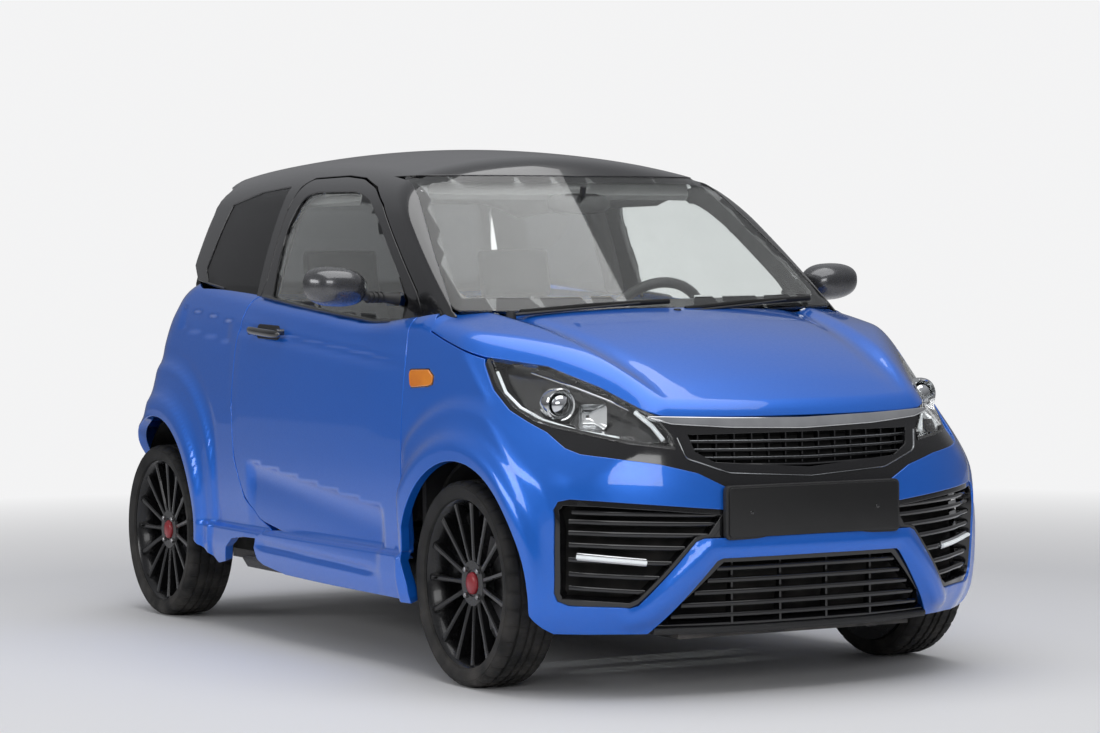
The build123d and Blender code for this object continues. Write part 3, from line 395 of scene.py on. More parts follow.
class View(Enum):
    """How a panel's flat outline is thrown onto the skin."""

    SIDE = "side"
    FRONT = "front"
    BACK = "back"
    TOP = "top"
    WRAP = "wrap"
    FAN = "fan"
    REAR_WRAP = "rear wrap"


WRAP_Y = -0.8
REAR_WRAP_Y = 0.95
FAN_AT = (0.0, -0.95, 0.25)
WRAP_SCALE = 0.7
BACK_START_Y = 0.75
TOP_START_Z = 0.5
BISECTIONS = 26
NORMAL_STEP = 0.0012
# nearest and farthest place of the skin along a ray
REACH = {View.SIDE: (0.2, 0.95), View.FRONT: (0.0, 1.3), View.BACK: (0.0, 0.9), View.TOP: (0.0, 1.1),
    View.FAN: (0.2, 1.7), View.WRAP: (0.15, 1.1), View.REAR_WRAP: (0.15, 1.1)}


@dataclass(frozen=True)
class Caster:
    """Throws flat outline points onto a skin.

    Attributes:
        skin: Field whose zero is the skin.
        view: How the flat points lie.
        sign: Side of the car in the side view.
        inset: Depth under the skin.
        centre: Where the fan's rays start.
        front_start: Where the front view's rays start, along Y.
    """

    skin: Callable[[Array], Array]
    view: View
    sign: float = 1.0
    inset: float = 0.0
    centre: Point3 = FAN_AT
    front_start: float = -0.95

    def rays(self, uv: Array) -> tuple[Array, Array]:
        """Origins and directions of the rays through (N, 2) outline points."""
        u, v = uv[:, 0], uv[:, 1]
        nil, one = np.zeros(len(u)), np.ones(len(u))
        if self.view is View.SIDE:
            return np.stack([nil, u, v], 1), np.stack([self.sign * one, nil, nil], 1)
        if self.view is View.FRONT:
            return np.stack([u, nil + self.front_start, v], 1), np.stack([nil, -one, nil], 1)
        if self.view is View.BACK:
            return np.stack([u, nil + BACK_START_Y, v], 1), np.stack([nil, one, nil], 1)
        if self.view is View.TOP:
            return np.stack([u, v, nil + TOP_START_Z], 1), np.stack([nil, nil, one], 1)
        if self.view is View.FAN:
            way = np.stack([u, v, one], 1)
            return np.tile(self.centre, (len(u), 1)), way / np.linalg.norm(way, axis=1)[:, None]
        angle = u / WRAP_SCALE
        start = WRAP_Y if self.view is View.WRAP else REAR_WRAP_Y
        forward = -1.0 if self.view is View.WRAP else 1.0
        way = np.stack([np.sin(angle), forward * np.cos(angle), nil], 1)
        return np.stack([nil, nil + start, v], 1), way

    def flat(self, p: Array) -> Array:
        """Outline points of (N, 3) places on the skin."""
        x, y, z = p[:, 0], p[:, 1], p[:, 2]
        if self.view is View.SIDE:
            return np.stack([y, z], 1)
        if self.view in (View.FRONT, View.BACK):
            return np.stack([x, z], 1)
        if self.view is View.TOP:
            return np.stack([x, y], 1)
        if self.view is View.FAN:
            up = z - self.centre[2]
            return np.stack([(x - self.centre[0]) / up, (y - self.centre[1]) / up], 1)
        if self.view is View.WRAP:
            return np.stack([np.arctan2(x, WRAP_Y - y) * WRAP_SCALE, z], 1)
        return np.stack([np.arctan2(x, y - REAR_WRAP_Y) * WRAP_SCALE, z], 1)

    def cast(self, uv: Array) -> Array:
        """Places on the skin under (N, 2) outline points."""
        origin, way = self.rays(uv)
        low, high = (np.full(len(uv), end) for end in REACH[self.view])
        for _ in range(BISECTIONS):
            mid = (low + high) / 2
            out = self.skin(origin + way * mid[:, None]) + self.inset > 0
            high = np.where(out, mid, high)
            low = np.where(out, low, mid)
        return origin + way * ((low + high) / 2)[:, None]

    def lay(self, run: Sequence[Point2], step: float) -> list[Point3]:
        """Places on the skin along an open run."""
        return [tuple(p) for p in self.cast(np.array(open_run(run, step)))]

    def at(self, u: float, v: float) -> Point3:
        """The place on the skin under one outline point."""
        return tuple(map(float, self.cast(np.array([(u, v)]))[0]))

    def normals(self, p: Array) -> Array:
        """Outward directions at (N, 3) places."""
        grad = np.stack([self.skin(p + step) - self.skin(p - step) for step in np.eye(3) * NORMAL_STEP], 1)
        return grad / np.maximum(np.linalg.norm(grad, axis=1), 1e-9)[:, None]


# ------------------------------------------------------------------ finishes
class Nodes:
    """Short ways to lay out one shader graph."""

    def __init__(self, tree: bpy.types.NodeTree) -> None:
        """Keep the tree that the nodes go into."""
        self.tree = tree

    def add(self, kind: str, inputs: dict[str | int, object] | None = None,
            **settings: object) -> bpy.types.Node:
        """Add a node.

        Args:
            kind: Blender's node type.
            inputs: Socket values or links by socket name or number.
            **settings: Node properties.

        Returns:
            The node.
        """
        node = self.tree.nodes.new(kind)
        for key, value in settings.items():
            setattr(node, key, value)
        for key, value in (inputs or {}).items():
            self.feed(node.inputs[key], value)
        return node

    def feed(self, socket: bpy.types.NodeSocket, value: object) -> None:
        """Link a socket to another node's output, or give it a plain value."""
        if isinstance(value, bpy.types.NodeSocket):
            self.tree.links.new(value, socket)
        else:
            socket.default_value = value

    def math(self, operation: str, *values: object) -> bpy.types.NodeSocket:
        """Result of a Math node."""
        return self.add("ShaderNodeMath", dict(enumerate(values)), operation=operation).outputs[0]

    def mix(self, factor: object, a: object, b: object) -> bpy.types.NodeSocket:
        """Colour between a and b."""
        return self.add("ShaderNodeMix", {0: factor, 6: a, 7: b}, data_type="RGBA").outputs[2]

    def spread(self, value: object, low: float, high: float, to_low: float,
            to_high: float) -> bpy.types.NodeSocket:
        """A value stretched from one range to another."""
        return self.add("ShaderNodeMapRange", {0: value, 1: low, 2: high, 3: to_low, 4: to_high}).outputs[0]


def effect(name: str, inputs: dict[str, float], outputs: tuple[str, ...],
        draw: Callable[[Nodes, bpy.types.Node], Sockets]) -> bpy.types.NodeTree:
    """Build a shader node group once.

    Args:
        name: The group's name.
        inputs: Value sockets with their defaults.
        outputs: Names of the value sockets that come out.
        draw: Lays out the nodes and gives the socket for each output.

    Returns:
        The group.
    """
    if name in bpy.data.node_groups:
        return bpy.data.node_groups[name]
    group = bpy.data.node_groups.new(name, "ShaderNodeTree")
    for key, value in inputs.items():
        group.interface.new_socket(key, in_out="INPUT", socket_type="NodeSocketFloat").default_value = value
    for key in outputs:
        group.interface.new_socket(key, in_out="OUTPUT", socket_type="NodeSocketFloat")
    nodes = Nodes(group)
    start, end = nodes.add("NodeGroupInput"), nodes.add("NodeGroupOutput")
    for key, socket in draw(nodes, start).items():
        group.links.new(socket, end.inputs[key])
    return group


def grain_effect() -> bpy.types.NodeTree:
    """Fine pebbled grain: a height and a slow unevenness."""
    def draw(nodes: Nodes, start: bpy.types.Node) -> Sockets:
        """Lay out the nodes of this effect."""
        place = nodes.add("ShaderNodeNewGeometry").outputs["Position"]
        cells = nodes.add("ShaderNodeTexVoronoi",
            {"Vector": place, "Scale": start.outputs["Scale"]}).outputs["Distance"]
        slow = nodes.add("ShaderNodeTexNoise", {"Vector": place, "Scale": 9.0, "Detail": 3.0}).outputs[0]
        fine = nodes.add("ShaderNodeTexNoise", {"Vector": place, "Scale": start.outputs["Scale"],
            "Detail": 2.0}).outputs[0]
        return {"Height": nodes.math("ADD", cells, fine), "Unevenness": slow}
    return effect("pebbled grain", {"Scale": 900.0}, ("Height", "Unevenness"), draw)


def dust_effect() -> bpy.types.NodeTree:
    """Road dust that gathers low down and in uneven patches: a mask from 0 to 1."""
    def draw(nodes: Nodes, start: bpy.types.Node) -> Sockets:
        """Lay out the nodes of this effect."""
        place = nodes.add("ShaderNodeNewGeometry").outputs["Position"]
        height = nodes.add("ShaderNodeSeparateXYZ", {0: place}).outputs[2]
        low = nodes.spread(height, 0.0, start.outputs["Reach"], 1.0, 0.0)
        cloud = nodes.add("ShaderNodeTexNoise", {"Vector": place, "Scale": 14.0, "Detail": 5.0}).outputs[0]
        patch = nodes.spread(cloud, 0.35, 0.7, 0.0, 1.0)
        return {"Mask": nodes.math("MULTIPLY", nodes.math("MULTIPLY", low, patch), start.outputs["Amount"])}
    return effect("road dust", {"Reach": 0.6, "Amount": 0.3}, ("Mask",), draw)


def weave_effect() -> bpy.types.NodeTree:
    """Crossed threads: a height and a thread mask."""
    def draw(nodes: Nodes, start: bpy.types.Node) -> Sockets:
        """Lay out the nodes of this effect."""
        place = nodes.add("ShaderNodeNewGeometry").outputs["Position"]
        parts = nodes.add("ShaderNodeSeparateXYZ", {0: place})
        across = nodes.math("SINE", nodes.math("MULTIPLY", parts.outputs[0], start.outputs["Threads"]))
        up = nodes.math("ADD", parts.outputs[1], parts.outputs[2])
        along = nodes.math("SINE", nodes.math("MULTIPLY", up, start.outputs["Threads"]))
        both = nodes.math("MULTIPLY", across, along)
        return {"Height": both, "Mask": nodes.spread(both, -1.0, 1.0, 0.0, 1.0)}
    return effect("crossed threads", {"Threads": 2400.0}, ("Height", "Mask"), draw)


def flake_effect() -> bpy.types.NodeTree:
    """Tiny flakes in paint and the slow ripple of its surface."""
    def draw(nodes: Nodes, start: bpy.types.Node) -> Sockets:
        """Lay out the nodes of this effect."""
        place = nodes.add("ShaderNodeNewGeometry").outputs["Position"]
        cells = nodes.add("ShaderNodeTexVoronoi",
            {"Vector": place, "Scale": start.outputs["Scale"]}).outputs["Color"]
        sparkle = nodes.add("ShaderNodeSeparateColor", {0: cells}).outputs[0]
        ripple = nodes.add("ShaderNodeTexNoise", {"Vector": place, "Scale": 140.0, "Detail": 1.0}).outputs[0]
        return {"Sparkle": sparkle, "Ripple": ripple}
    return effect("paint flakes", {"Scale": 2600.0}, ("Sparkle", "Ripple"), draw)


def place_effect(nodes: Nodes, group: bpy.types.NodeTree, **inputs: float) -> bpy.types.Node:
    """Put a shader node group into a material with its own values."""
    return nodes.add("ShaderNodeGroup", inputs, node_tree=group)


class Surface(Enum):
    """Which surface effect a finish shows."""

    PAINT = "paint"
    GRAIN = "grain"
    WEAVE = "weave"


# depth of each effect's bumps at full strength
RELIEF = {Surface.PAINT: 0.00035, Surface.GRAIN: 0.0008, Surface.WEAVE: 0.0006}
COAT_ROUGHNESS = 0.03
DUST_COLOUR = (0.23, 0.21, 0.19, 1.0)


@dataclass(frozen=True)
class Cover:
    """What a piece wears: a named material of one main colour."""

    name: str
    colour: Point3

    def material(self) -> bpy.types.Material:
        """The material, made once."""
        if self.name not in bpy.data.materials:
            made = bpy.data.materials.new(self.name)
            made.use_nodes = True
            self.draw(Nodes(made.node_tree), made.node_tree.nodes["Principled BSDF"].inputs)
        return bpy.data.materials[self.name]

    def shade(self, share: float) -> tuple[float, ...]:
        """The colour with its light scaled by a share."""
        return (*(c * share for c in self.colour), 1.0)

    def draw(self, nodes: Nodes, shader: bpy.types.NodeInputs) -> None:
        """Lay out the graph that feeds the main shader."""
        raise NotImplementedError


@dataclass(frozen=True)
class Finish(Cover):
    """One opaque finish: its colour, gloss and surface effect.

    Attributes:
        roughness: Middle of the roughness.
        metallic: Share of metal.
        coat: Strength of the clear coat.
        surface: Its surface effect.
        bump: Strength of the effect's bumps.
        scale: Fineness of the effect.
        dust: How much road dust lies on it.
        sheen: Strength of the cloth's sheen.
        specular: Strength of the plain reflection.
        second: Colour that the effect mixes in, or None for a darker shade of its own.
    """

    roughness: float = 0.4
    metallic: float = 0.0
    coat: float = 0.0
    surface: Surface = Surface.GRAIN
    bump: float = 0.0
    scale: float = 900.0
    dust: float = 0.0
    sheen: float = 0.0
    specular: float = 0.5
    second: Point3 | None = None

    def draw(self, nodes: Nodes, shader: bpy.types.NodeInputs) -> None:
        """Lay out colour, roughness and bumps of the surface effect."""
        shader["Metallic"].default_value = self.metallic
        shader["Coat Weight"].default_value = self.coat
        shader["Coat Roughness"].default_value = COAT_ROUGHNESS
        shader["Sheen Weight"].default_value = self.sheen
        shader["Specular IOR Level"].default_value = self.specular
        rough: object = self.roughness
        other = (*self.second, 1.0) if self.second else self.shade(0.82)
        if self.surface is Surface.PAINT:
            flakes = place_effect(nodes, flake_effect(), Scale=self.scale)
            blend = nodes.spread(flakes.outputs["Sparkle"], 0.0, 1.0, 0.0, 1.0)
            rough = nodes.spread(flakes.outputs["Ripple"], 0.3, 0.7, self.roughness * 0.9,
                self.roughness * 1.1)
            height = flakes.outputs["Ripple"]
        elif self.surface is Surface.WEAVE:
            threads = place_effect(nodes, weave_effect(), Threads=self.scale)
            blend, height = threads.outputs["Mask"], threads.outputs["Height"]
        else:
            grain = place_effect(nodes, grain_effect(), Scale=self.scale)
            blend = nodes.spread(grain.outputs["Unevenness"], 0.35, 0.65, 0.0, 1.0)
            rough = nodes.spread(grain.outputs["Unevenness"], 0.3, 0.7, self.roughness * 0.88,
                self.roughness * 1.12)
            height = grain.outputs["Height"]
        colour = nodes.mix(blend, self.shade(1), other)
        if self.dust > 0:
            mask = place_effect(nodes, dust_effect(), Amount=self.dust).outputs["Mask"]
            colour = nodes.mix(mask, colour, DUST_COLOUR)
        nodes.feed(shader["Base Color"], colour)
        nodes.feed(shader["Roughness"], rough)
        if self.bump > 0:
            bumped = nodes.add("ShaderNodeBump", {"Strength": self.bump, "Distance": RELIEF[self.surface],
                "Height": height})
            nodes.feed(shader["Normal"], bumped.outputs[0])


@dataclass(frozen=True)
class GlassFinish(Cover):
    """Clear or tinted glass and lens plastic."""

    roughness: float = 0.02
    ior: float = 1.45

    def draw(self, nodes: Nodes, shader: bpy.types.NodeInputs) -> None:
        """Lay out the tint and a faint unevenness."""
        shader["Transmission Weight"].default_value = 1.0
        shader["IOR"].default_value = self.ior
        uneven = place_effect(nodes, grain_effect(), Scale=60.0).outputs["Unevenness"]
        nodes.feed(shader["Base Color"], nodes.mix(uneven, self.shade(1), self.shade(0.94)))
        nodes.feed(shader["Roughness"], nodes.spread(uneven, 0.3, 0.7, self.roughness * 0.7,
            self.roughness * 1.3))


@dataclass(frozen=True)
class LightFinish(Cover):
    """A lit lamp face."""

    strength: float

    def draw(self, nodes: Nodes, shader: bpy.types.NodeInputs) -> None:
        """Lay out the glow."""
        uneven = place_effect(nodes, grain_effect(), Scale=400.0).outputs["Unevenness"]
        colour = nodes.mix(uneven, self.shade(1), self.shade(0.8))
        nodes.feed(shader["Base Color"], colour)
        nodes.feed(shader["Emission Color"], colour)
        shader["Emission Strength"].default_value = self.strength


BLUE_PAINT = Finish("gloss blue paint", (0.001, 0.125, 0.66), 0.34, 0.45, 1.0, Surface.PAINT, 0.05, 2600.0,
    second=(0.008, 0.17, 0.76))
BLACK_PAINT = Finish("gloss black paint", (0.006, 0.006, 0.007), 0.18, 0.0, 1.0, Surface.PAINT, 0.04, 2600.0)
GLOSS_BLACK = Finish("gloss black plastic", (0.008, 0.008, 0.009), 0.12, 0.0, 0.6, Surface.GRAIN, 0.03, 500.0)
SATIN_BLACK = Finish("satin black plastic", (0.017, 0.017, 0.018), 0.42, 0.0, 0.0, Surface.GRAIN, 0.35,
    1500.0)
BLACK_TRIM = Finish("grained black trim", (0.022, 0.022, 0.023), 0.58, 0.0, 0.0, Surface.GRAIN, 0.6, 1100.0)
DARK_WELL = Finish("black wheel-arch felt", (0.01, 0.01, 0.01), 0.9, 0.0, 0.0, Surface.GRAIN, 0.8, 420.0,
    dust=0.25)
GUNMETAL = Finish("gunmetal mirror shell", (0.11, 0.112, 0.118), 0.26, 0.7, 0.8, Surface.PAINT, 0.04, 3000.0,
    second=(0.085, 0.085, 0.09))
CHROME = Finish("bright chrome", (0.72, 0.73, 0.74), 0.07, 1.0, 0.0, Surface.GRAIN, 0.02, 300.0)
SATIN_CHROME = Finish("satin chrome edge", (0.3, 0.31, 0.32), 0.24, 1.0, 0.0, Surface.GRAIN, 0.05, 700.0)
LAMP_SILVER = Finish("bright reflector", (0.62, 0.63, 0.64), 0.16, 1.0, 0.0, Surface.GRAIN, 0.03, 300.0)
LAMP_BLACK = Finish("black lamp bezel", (0.01, 0.01, 0.011), 0.22, 0.0, 0.4, Surface.GRAIN, 0.05, 900.0)
RIM_BLACK = Finish("satin black alloy", (0.011, 0.011, 0.012), 0.27, 0.35, 0.35, Surface.GRAIN, 0.1, 1400.0)
RED_CAP = Finish("red wheel centre", (0.3, 0.01, 0.018), 0.38, 0.0, 0.3, Surface.GRAIN, 0.1, 1200.0)
RUBBER = Finish("tyre rubber", (0.014, 0.014, 0.014), 0.74, 0.0, 0.0, Surface.GRAIN, 0.35, 1500.0, dust=0.22,
    specular=0.35)
STEEL = Finish("bare steel", (0.36, 0.36, 0.37), 0.34, 1.0, 0.0, Surface.GRAIN, 0.25, 700.0, dust=0.3)
CAST_ALLOY = Finish("cast alloy", (0.22, 0.22, 0.23), 0.5, 0.9, 0.0, Surface.GRAIN, 0.5, 500.0, dust=0.35)
CHASSIS_BLACK = Finish("chassis enamel", (0.02, 0.02, 0.021), 0.45, 0.1, 0.0, Surface.GRAIN, 0.3, 420.0,
    dust=0.45)
SEAT_CLOTH = Finish("dark seat cloth", (0.03, 0.031, 0.034), 0.86, 0.0, 0.0, Surface.WEAVE, 0.6, 2600.0,
    sheen=0.35, second=(0.046, 0.047, 0.052))
BOLSTER_HIDE = Finish("seat side hide", (0.022, 0.022, 0.024), 0.48, 0.0, 0.0, Surface.GRAIN, 0.55, 750.0,
    sheen=0.1)
DASH_TRIM = Finish("dashboard skin", (0.02, 0.02, 0.022), 0.6, 0.0, 0.0, Surface.GRAIN, 0.7, 950.0)
HEADLINER = Finish("grey headliner", (0.3, 0.3, 0.295), 0.92, 0.0, 0.0, Surface.WEAVE, 0.5, 3000.0, sheen=0.2)
CARPET = Finish("black carpet", (0.016, 0.016, 0.017), 0.96, 0.0, 0.0, Surface.GRAIN, 1.0, 600.0, sheen=0.3)
PLATE_BLACK = Finish("blank plate panel", (0.01, 0.01, 0.01), 0.36, 0.0, 0.0, Surface.GRAIN, 0.15, 1300.0)
AMBER_LENS = Finish("amber lens", (0.86, 0.27, 0.012), 0.16, 0.0, 0.7, Surface.GRAIN, 0.1, 500.0,
    second=(0.7, 0.18, 0.008))
RED_LENS = Finish("red lens", (0.52, 0.012, 0.016), 0.15, 0.0, 0.8, Surface.GRAIN, 0.08, 420.0,
    second=(0.4, 0.008, 0.012))
CLEAR_GLASS = GlassFinish("clear window glass", (0.93, 0.96, 0.95))
DARK_GLASS = GlassFinish("dark privacy glass", (0.045, 0.047, 0.05))
LENS_CLEAR = GlassFinish("clear lamp lens", (0.97, 0.98, 0.98), 0.01, 1.35)
MIRROR_GLASS = Finish("mirror glass", (0.8, 0.82, 0.84), 0.03, 1.0, 0.0, Surface.GRAIN, 0.01, 300.0)
LED_WHITE = LightFinish("white running light", (0.8, 0.84, 0.86), 0.35)


# ------------------------------------------------------------------ mesh making
def add_piece(name: str, points: Array | Sequence[Point3], faces: Sequence[Sequence[int]], finish: Cover,
        body: str, normals: Array | None = None, smooth: float | None = 35.0,
        backs: Sequence[str] = ()) -> bpy.types.Object:
    """Put a mesh into the scene as a piece of the car.

    Args:
        name: The piece's name.
        points: Vertices.
        faces: Vertex numbers of each face.
        finish: Finish whose material it wears.
        body: CAD body that it rides on.
        normals: A shading direction for each vertex, where the mesh has its own.
        smooth: Angle under which faces shade as one, in degrees, or None for flat faces.
        backs: CAD nodes that the piece replaces.

    Returns:
        The object.
    """
    mesh = bpy.data.meshes.new(name)
    mesh.from_pydata([tuple(map(float, p)) for p in points], [], [tuple(map(int, f)) for f in faces])
    mesh.update()
    piece = bpy.data.objects.new(name, mesh)
    bpy.context.scene.collection.objects.link(piece)
    mesh.materials.append(finish.material())
    if normals is not None:
        mesh.shade_smooth()
        mesh.normals_split_custom_set_from_vertices([tuple(map(float, n)) for n in normals])
    elif smooth is not None:
        mesh.shade_smooth()
        mesh.set_sharp_from_angle(angle=math.radians(smooth))
    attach(piece, body)
    if backs:
        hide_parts(*backs)
    return piece


class Lump:
    """Vertices and faces gathered from simple shaped parts into one mesh."""

    def __init__(self) -> None:
        """Start empty."""
        self.points: list[Point3] = []
        self.faces: list[tuple[int, ...]] = []

    def grid(self, rows: Sequence[Sequence[Point3]], closed: bool = False, ends: bool = False) -> None:
        """Join rows of points by quads.

        Args:
            rows: Rows with the same number of points.
            closed: Whether each row is a ring.
            ends: Whether the first and last rows are capped.
        """
        base, width = len(self.points), len(rows[0])
        if any(len(row) != width for row in rows):
            raise ValueError("rows of unlike length")
        for row in rows:
            self.points += [tuple(p) for p in row]
        last = width if closed else width - 1
        for i in range(len(rows) - 1):
            for j in range(last):
                a, b = base + i * width + j, base + i * width + (j + 1) % width
                self.faces.append((a, b, b + width, a + width))
        if ends:
            self.faces.append(tuple(base + j for j in reversed(range(width))))
            self.faces.append(tuple(base + (len(rows) - 1) * width + j for j in range(width)))

    def turned(self, profile: Sequence[Point2], centre: Point3, axis: int = 0, count: int = 64,
            start: float = 0.0, sweep: float = 360.0) -> None:
        """Turn a profile of (radius, place along the axis) points.

        Args:
            profile: Points of the profile.
            centre: A point on the axis.
            axis: 0 for X, 1 for Y, 2 for Z.
            count: Steps round.
            start: First angle in degrees.
            sweep: Angle turned in degrees.
        """
        full = sweep >= 360
        rows = []
        for r, along in profile:
            row = []
            for k in range(count if full else count + 1):
                a = math.radians(start + sweep * k / count)
                p = [0.0, 0.0, 0.0]
                p[axis] = along
                p[(axis + 1) % 3], p[(axis + 2) % 3] = r * math.cos(a), r * math.sin(a)
                row.append(tuple(centre[i] + p[i] for i in range(3)))
            rows.append(row)
        self.grid(rows, closed=full)

    def tube(self, path: Sequence[Point3], radius: float | Sequence[float], count: int = 12,
            flat: float = 1.0, up: Point3 = (0.0, 0.0, 1.0)) -> None:
        """A round or flattened bar along a path, with closed ends.

        Args:
            path: Points along the middle.
            radius: Half-width, one or one per point.
            count: Sides.
            flat: Thickness across the width, as a share of it.
            up: Direction in which the bar is flattened.
        """
        radii = [radius] * len(path) if isinstance(radius, (int, float)) else list(radius)
        rows = []
        for i, p in enumerate(path):
            ahead = Vector(path[min(i + 1, len(path) - 1)]) - Vector(path[max(i - 1, 0)])
            side = ahead.cross(Vector(up)).normalized()
            top = side.cross(ahead).normalized()
            rows.append([Vector(p) + side * math.cos(a) * radii[i] + top * math.sin(a) * radii[i] * flat
                for a in turns(count)])
        self.grid([[tuple(q) for q in row] for row in rows], closed=True, ends=True)

    def slab(self, corners: Sequence[Point3], thickness: Point3) -> None:
        """A flat-sided block: a ring of corners carried along a direction."""
        far = [tuple(c[i] + thickness[i] for i in range(3)) for c in corners]
        self.grid([list(corners), far], closed=True, ends=True)

    def block(self, low: Point3, high: Point3) -> None:
        """A box between two corners."""
        (x0, y0, z0), (x1, y1, z1) = low, high
        self.slab([(x0, y0, z0), (x1, y0, z0), (x1, y1, z0), (x0, y1, z0)], (0, 0, z1 - z0))

    def add(self, other: "Lump") -> None:
        """Take in another lump."""
        base = len(self.points)
        self.points += other.points
        self.faces += [tuple(base + i for i in f) for f in other.faces]

    def piece(self, name: str, finish: Cover, body: str, smooth: float = 35.0, bevel: float = 0.0,
            backs: Sequence[str] = (), levels: int = 0) -> bpy.types.Object:
        """The lump as a piece, its edges softened.

        Args:
            name: The piece's name.
            finish: Its finish.
            body: CAD body that it rides on.
            smooth: Shading angle in degrees.
            bevel: Width of the softened edges.
            backs: CAD nodes that it replaces.
            levels: Subdivision steps.

        Returns:
            The object.
        """
        made = add_piece(name, self.points, self.faces, finish, body, smooth=smooth, backs=backs)
        if bevel > 0:
            soften(made, bevel)
        if levels:
            divide = made.modifiers.new("rounded", "SUBSURF")
            divide.levels = divide.render_levels = levels
        return made


def soften(piece: bpy.types.Object, width: float, steps: int = 2) -> None:
    """Bevel a piece's sharp edges in its mesh and shade it smooth."""
    work = bmesh.new()
    work.from_mesh(piece.data)
    bmesh.ops.remove_doubles(work, verts=work.verts, dist=1e-6)
    bmesh.ops.recalc_face_normals(work, faces=work.faces)
    edges = [e for e in work.edges if len(e.link_faces) == 2 and e.calc_face_angle(0) > math.radians(32)]
    bmesh.ops.bevel(work, geom=edges, offset=width, segments=steps, profile=0.5, affect="EDGES",
        clamp_overlap=True)
    work.to_mesh(piece.data)
    work.free()
    piece.data.shade_smooth()
    piece.data.set_sharp_from_angle(angle=math.radians(50))


@dataclass
class Panel:
    """A sheet of the body: an outline thrown onto a skin, with rolled edges.

    Attributes:
        name: The piece's name.
        caster: How the outline meets the skin.
        outline: Closed outline in the caster's flat view.
        finish: Its finish.
        body: CAD body that it rides on.
        holes: Closed outlines left open.
        step: Size of the mesh's cells.
        roll: Radius of the rolled edge.
        depth: Depth of the return flange.
        backs: CAD nodes that it replaces.
        thin: Thickness of a sheet that gets an inner face, as glass does.
        shape: Moves the points off the skin, given flat points and places.
    """

    name: str
    caster: Caster
    outline: Sequence[Point2]
    finish: Cover
    body: str
    holes: Sequence[Sequence[Point2]] = ()
    step: float = 0.012
    roll: float = 0.0022
    depth: float = 0.016
    backs: Sequence[str] = ()
    thin: float = 0.0
    shape: Callable[[Array, Array, Array], Array] | None = None

    def flat_mesh(self) -> tuple[Array, list[tuple[int, int, int]]]:
        """Fill the outline with triangles.

        Returns:
            Flat points and triangles.
        """
        loops = [np.array(dense(loop, self.step)) for loop in (self.outline, *self.holes)]
        low, high = loops[0].min(axis=0), loops[0].max(axis=0)
        u = np.arange(low[0] + self.step / 2, high[0], self.step)
        v = np.arange(low[1] + self.step / 2, high[1], self.step)
        grid = np.stack(np.meshgrid(u, v), -1).reshape(-1, 2)
        keep = inside(grid, loops[0])
        for hole in loops[1:]:
            keep &= ~inside(grid, hole)
        grid = grid[keep]
        for loop in loops:
            grid = grid[run_distance(grid, loop, np.roll(loop, -1, axis=0)) > self.step * 0.45]
        edges, start = [], 0
        for loop in loops:
            count = len(loop)
            edges += [(start + k, start + (k + 1) % count) for k in range(count)]
            start += count
        points = np.concatenate([*loops, grid])
        out, _, faces, *_ = delaunay_2d_cdt([Vector(p) for p in points], edges, [], 0, 1e-7)
        flat = np.array([tuple(p) for p in out])
        centres = np.array([flat[list(f)].mean(axis=0) for f in faces])
        keep = inside(centres, loops[0])
        for hole in loops[1:]:
            keep &= ~inside(centres, hole)
        return flat, [tuple(f) for f, ok in zip(faces, keep) if ok]

    def build(self) -> bpy.types.Object:
        """Make the panel.

        Returns:
            The object.
        """
        flat, faces = self.flat_mesh()
        used = sorted({i for f in faces for i in f})
        order = {old: new for new, old in enumerate(used)}
        flat = flat[used]
        tri = np.array([[order[i] for i in f] for f in faces])
        place = self.caster.cast(flat)
        out = self.caster.normals(place)
        if self.shape is not None:
            place = self.shape(flat, place, out)
            out = face_normals(place, tri, out)
        a, b, c = place[tri[:, 0]], place[tri[:, 1]], place[tri[:, 2]]
        turned = (np.cross(b - a, c - a) * out[tri[:, 0]]).sum(axis=1)
        if np.median(turned) < 0:
            tri = tri[:, ::-1]
        return self.close(place, out, tri)

    def close(self, place: Array, out: Array, tri: Array) -> bpy.types.Object:
        """Roll the open edges over and add the flange or the inner face."""
        half = {(int(f[k]), int(f[(k + 1) % 3])) for f in tri for k in range(3)}
        rim = [(a, b) for a, b in half if (b, a) not in half]
        away = np.zeros_like(place)
        for a, b in rim:
            along = place[b] - place[a]
            sideways = np.cross(along, out[a] + out[b])
            away[a] += sideways
            away[b] += sideways
        edge = sorted({i for pair in rim for i in pair})
        away[edge] /= np.maximum(np.linalg.norm(away[edge], axis=1), TINY)[:, None]
        rings = ((0.55, 0.12, 0.6), (0.9, 0.5, 1.2), (1.0, 1.0, 1.57))
        rows = [place]
        lights = [out]
        for wide, deep, lean in rings:
            rows.append(place[edge] + away[edge] * wide * self.roll - out[edge] * deep * self.roll)
            lights.append(out[edge] * math.cos(lean) + away[edge] * math.sin(lean))
        rows.append(rows[-1] - out[edge] * max(self.depth, self.thin))
        lights.append(away[edge])
        count = len(place)
        spot = {old: k for k, old in enumerate(edge)}
        faces = [tuple(f) for f in tri]
        for level in range(4):
            for a, b in rim:
                below_a, below_b = count + level * len(edge) + spot[a], count + level * len(edge) + spot[b]
                top_a = a if level == 0 else below_a - len(edge)
                top_b = b if level == 0 else below_b - len(edge)
                faces.append((top_b, top_a, below_a, below_b))
        if self.thin > 0:
            base = count + 3 * len(edge)
            inner = place - out * (self.thin + self.roll)
            first = sum(len(r) for r in rows)
            number = {i: first + i for i in range(count)}
            number.update({old: base + k for old, k in spot.items()})
            rows.append(inner)
            lights.append(-out)
            faces += [tuple(number[i] for i in reversed(f)) for f in (tuple(f) for f in tri)]
        return add_piece(self.name, np.concatenate(rows), faces, self.finish, self.body,
            normals=np.concatenate(lights), backs=self.backs)


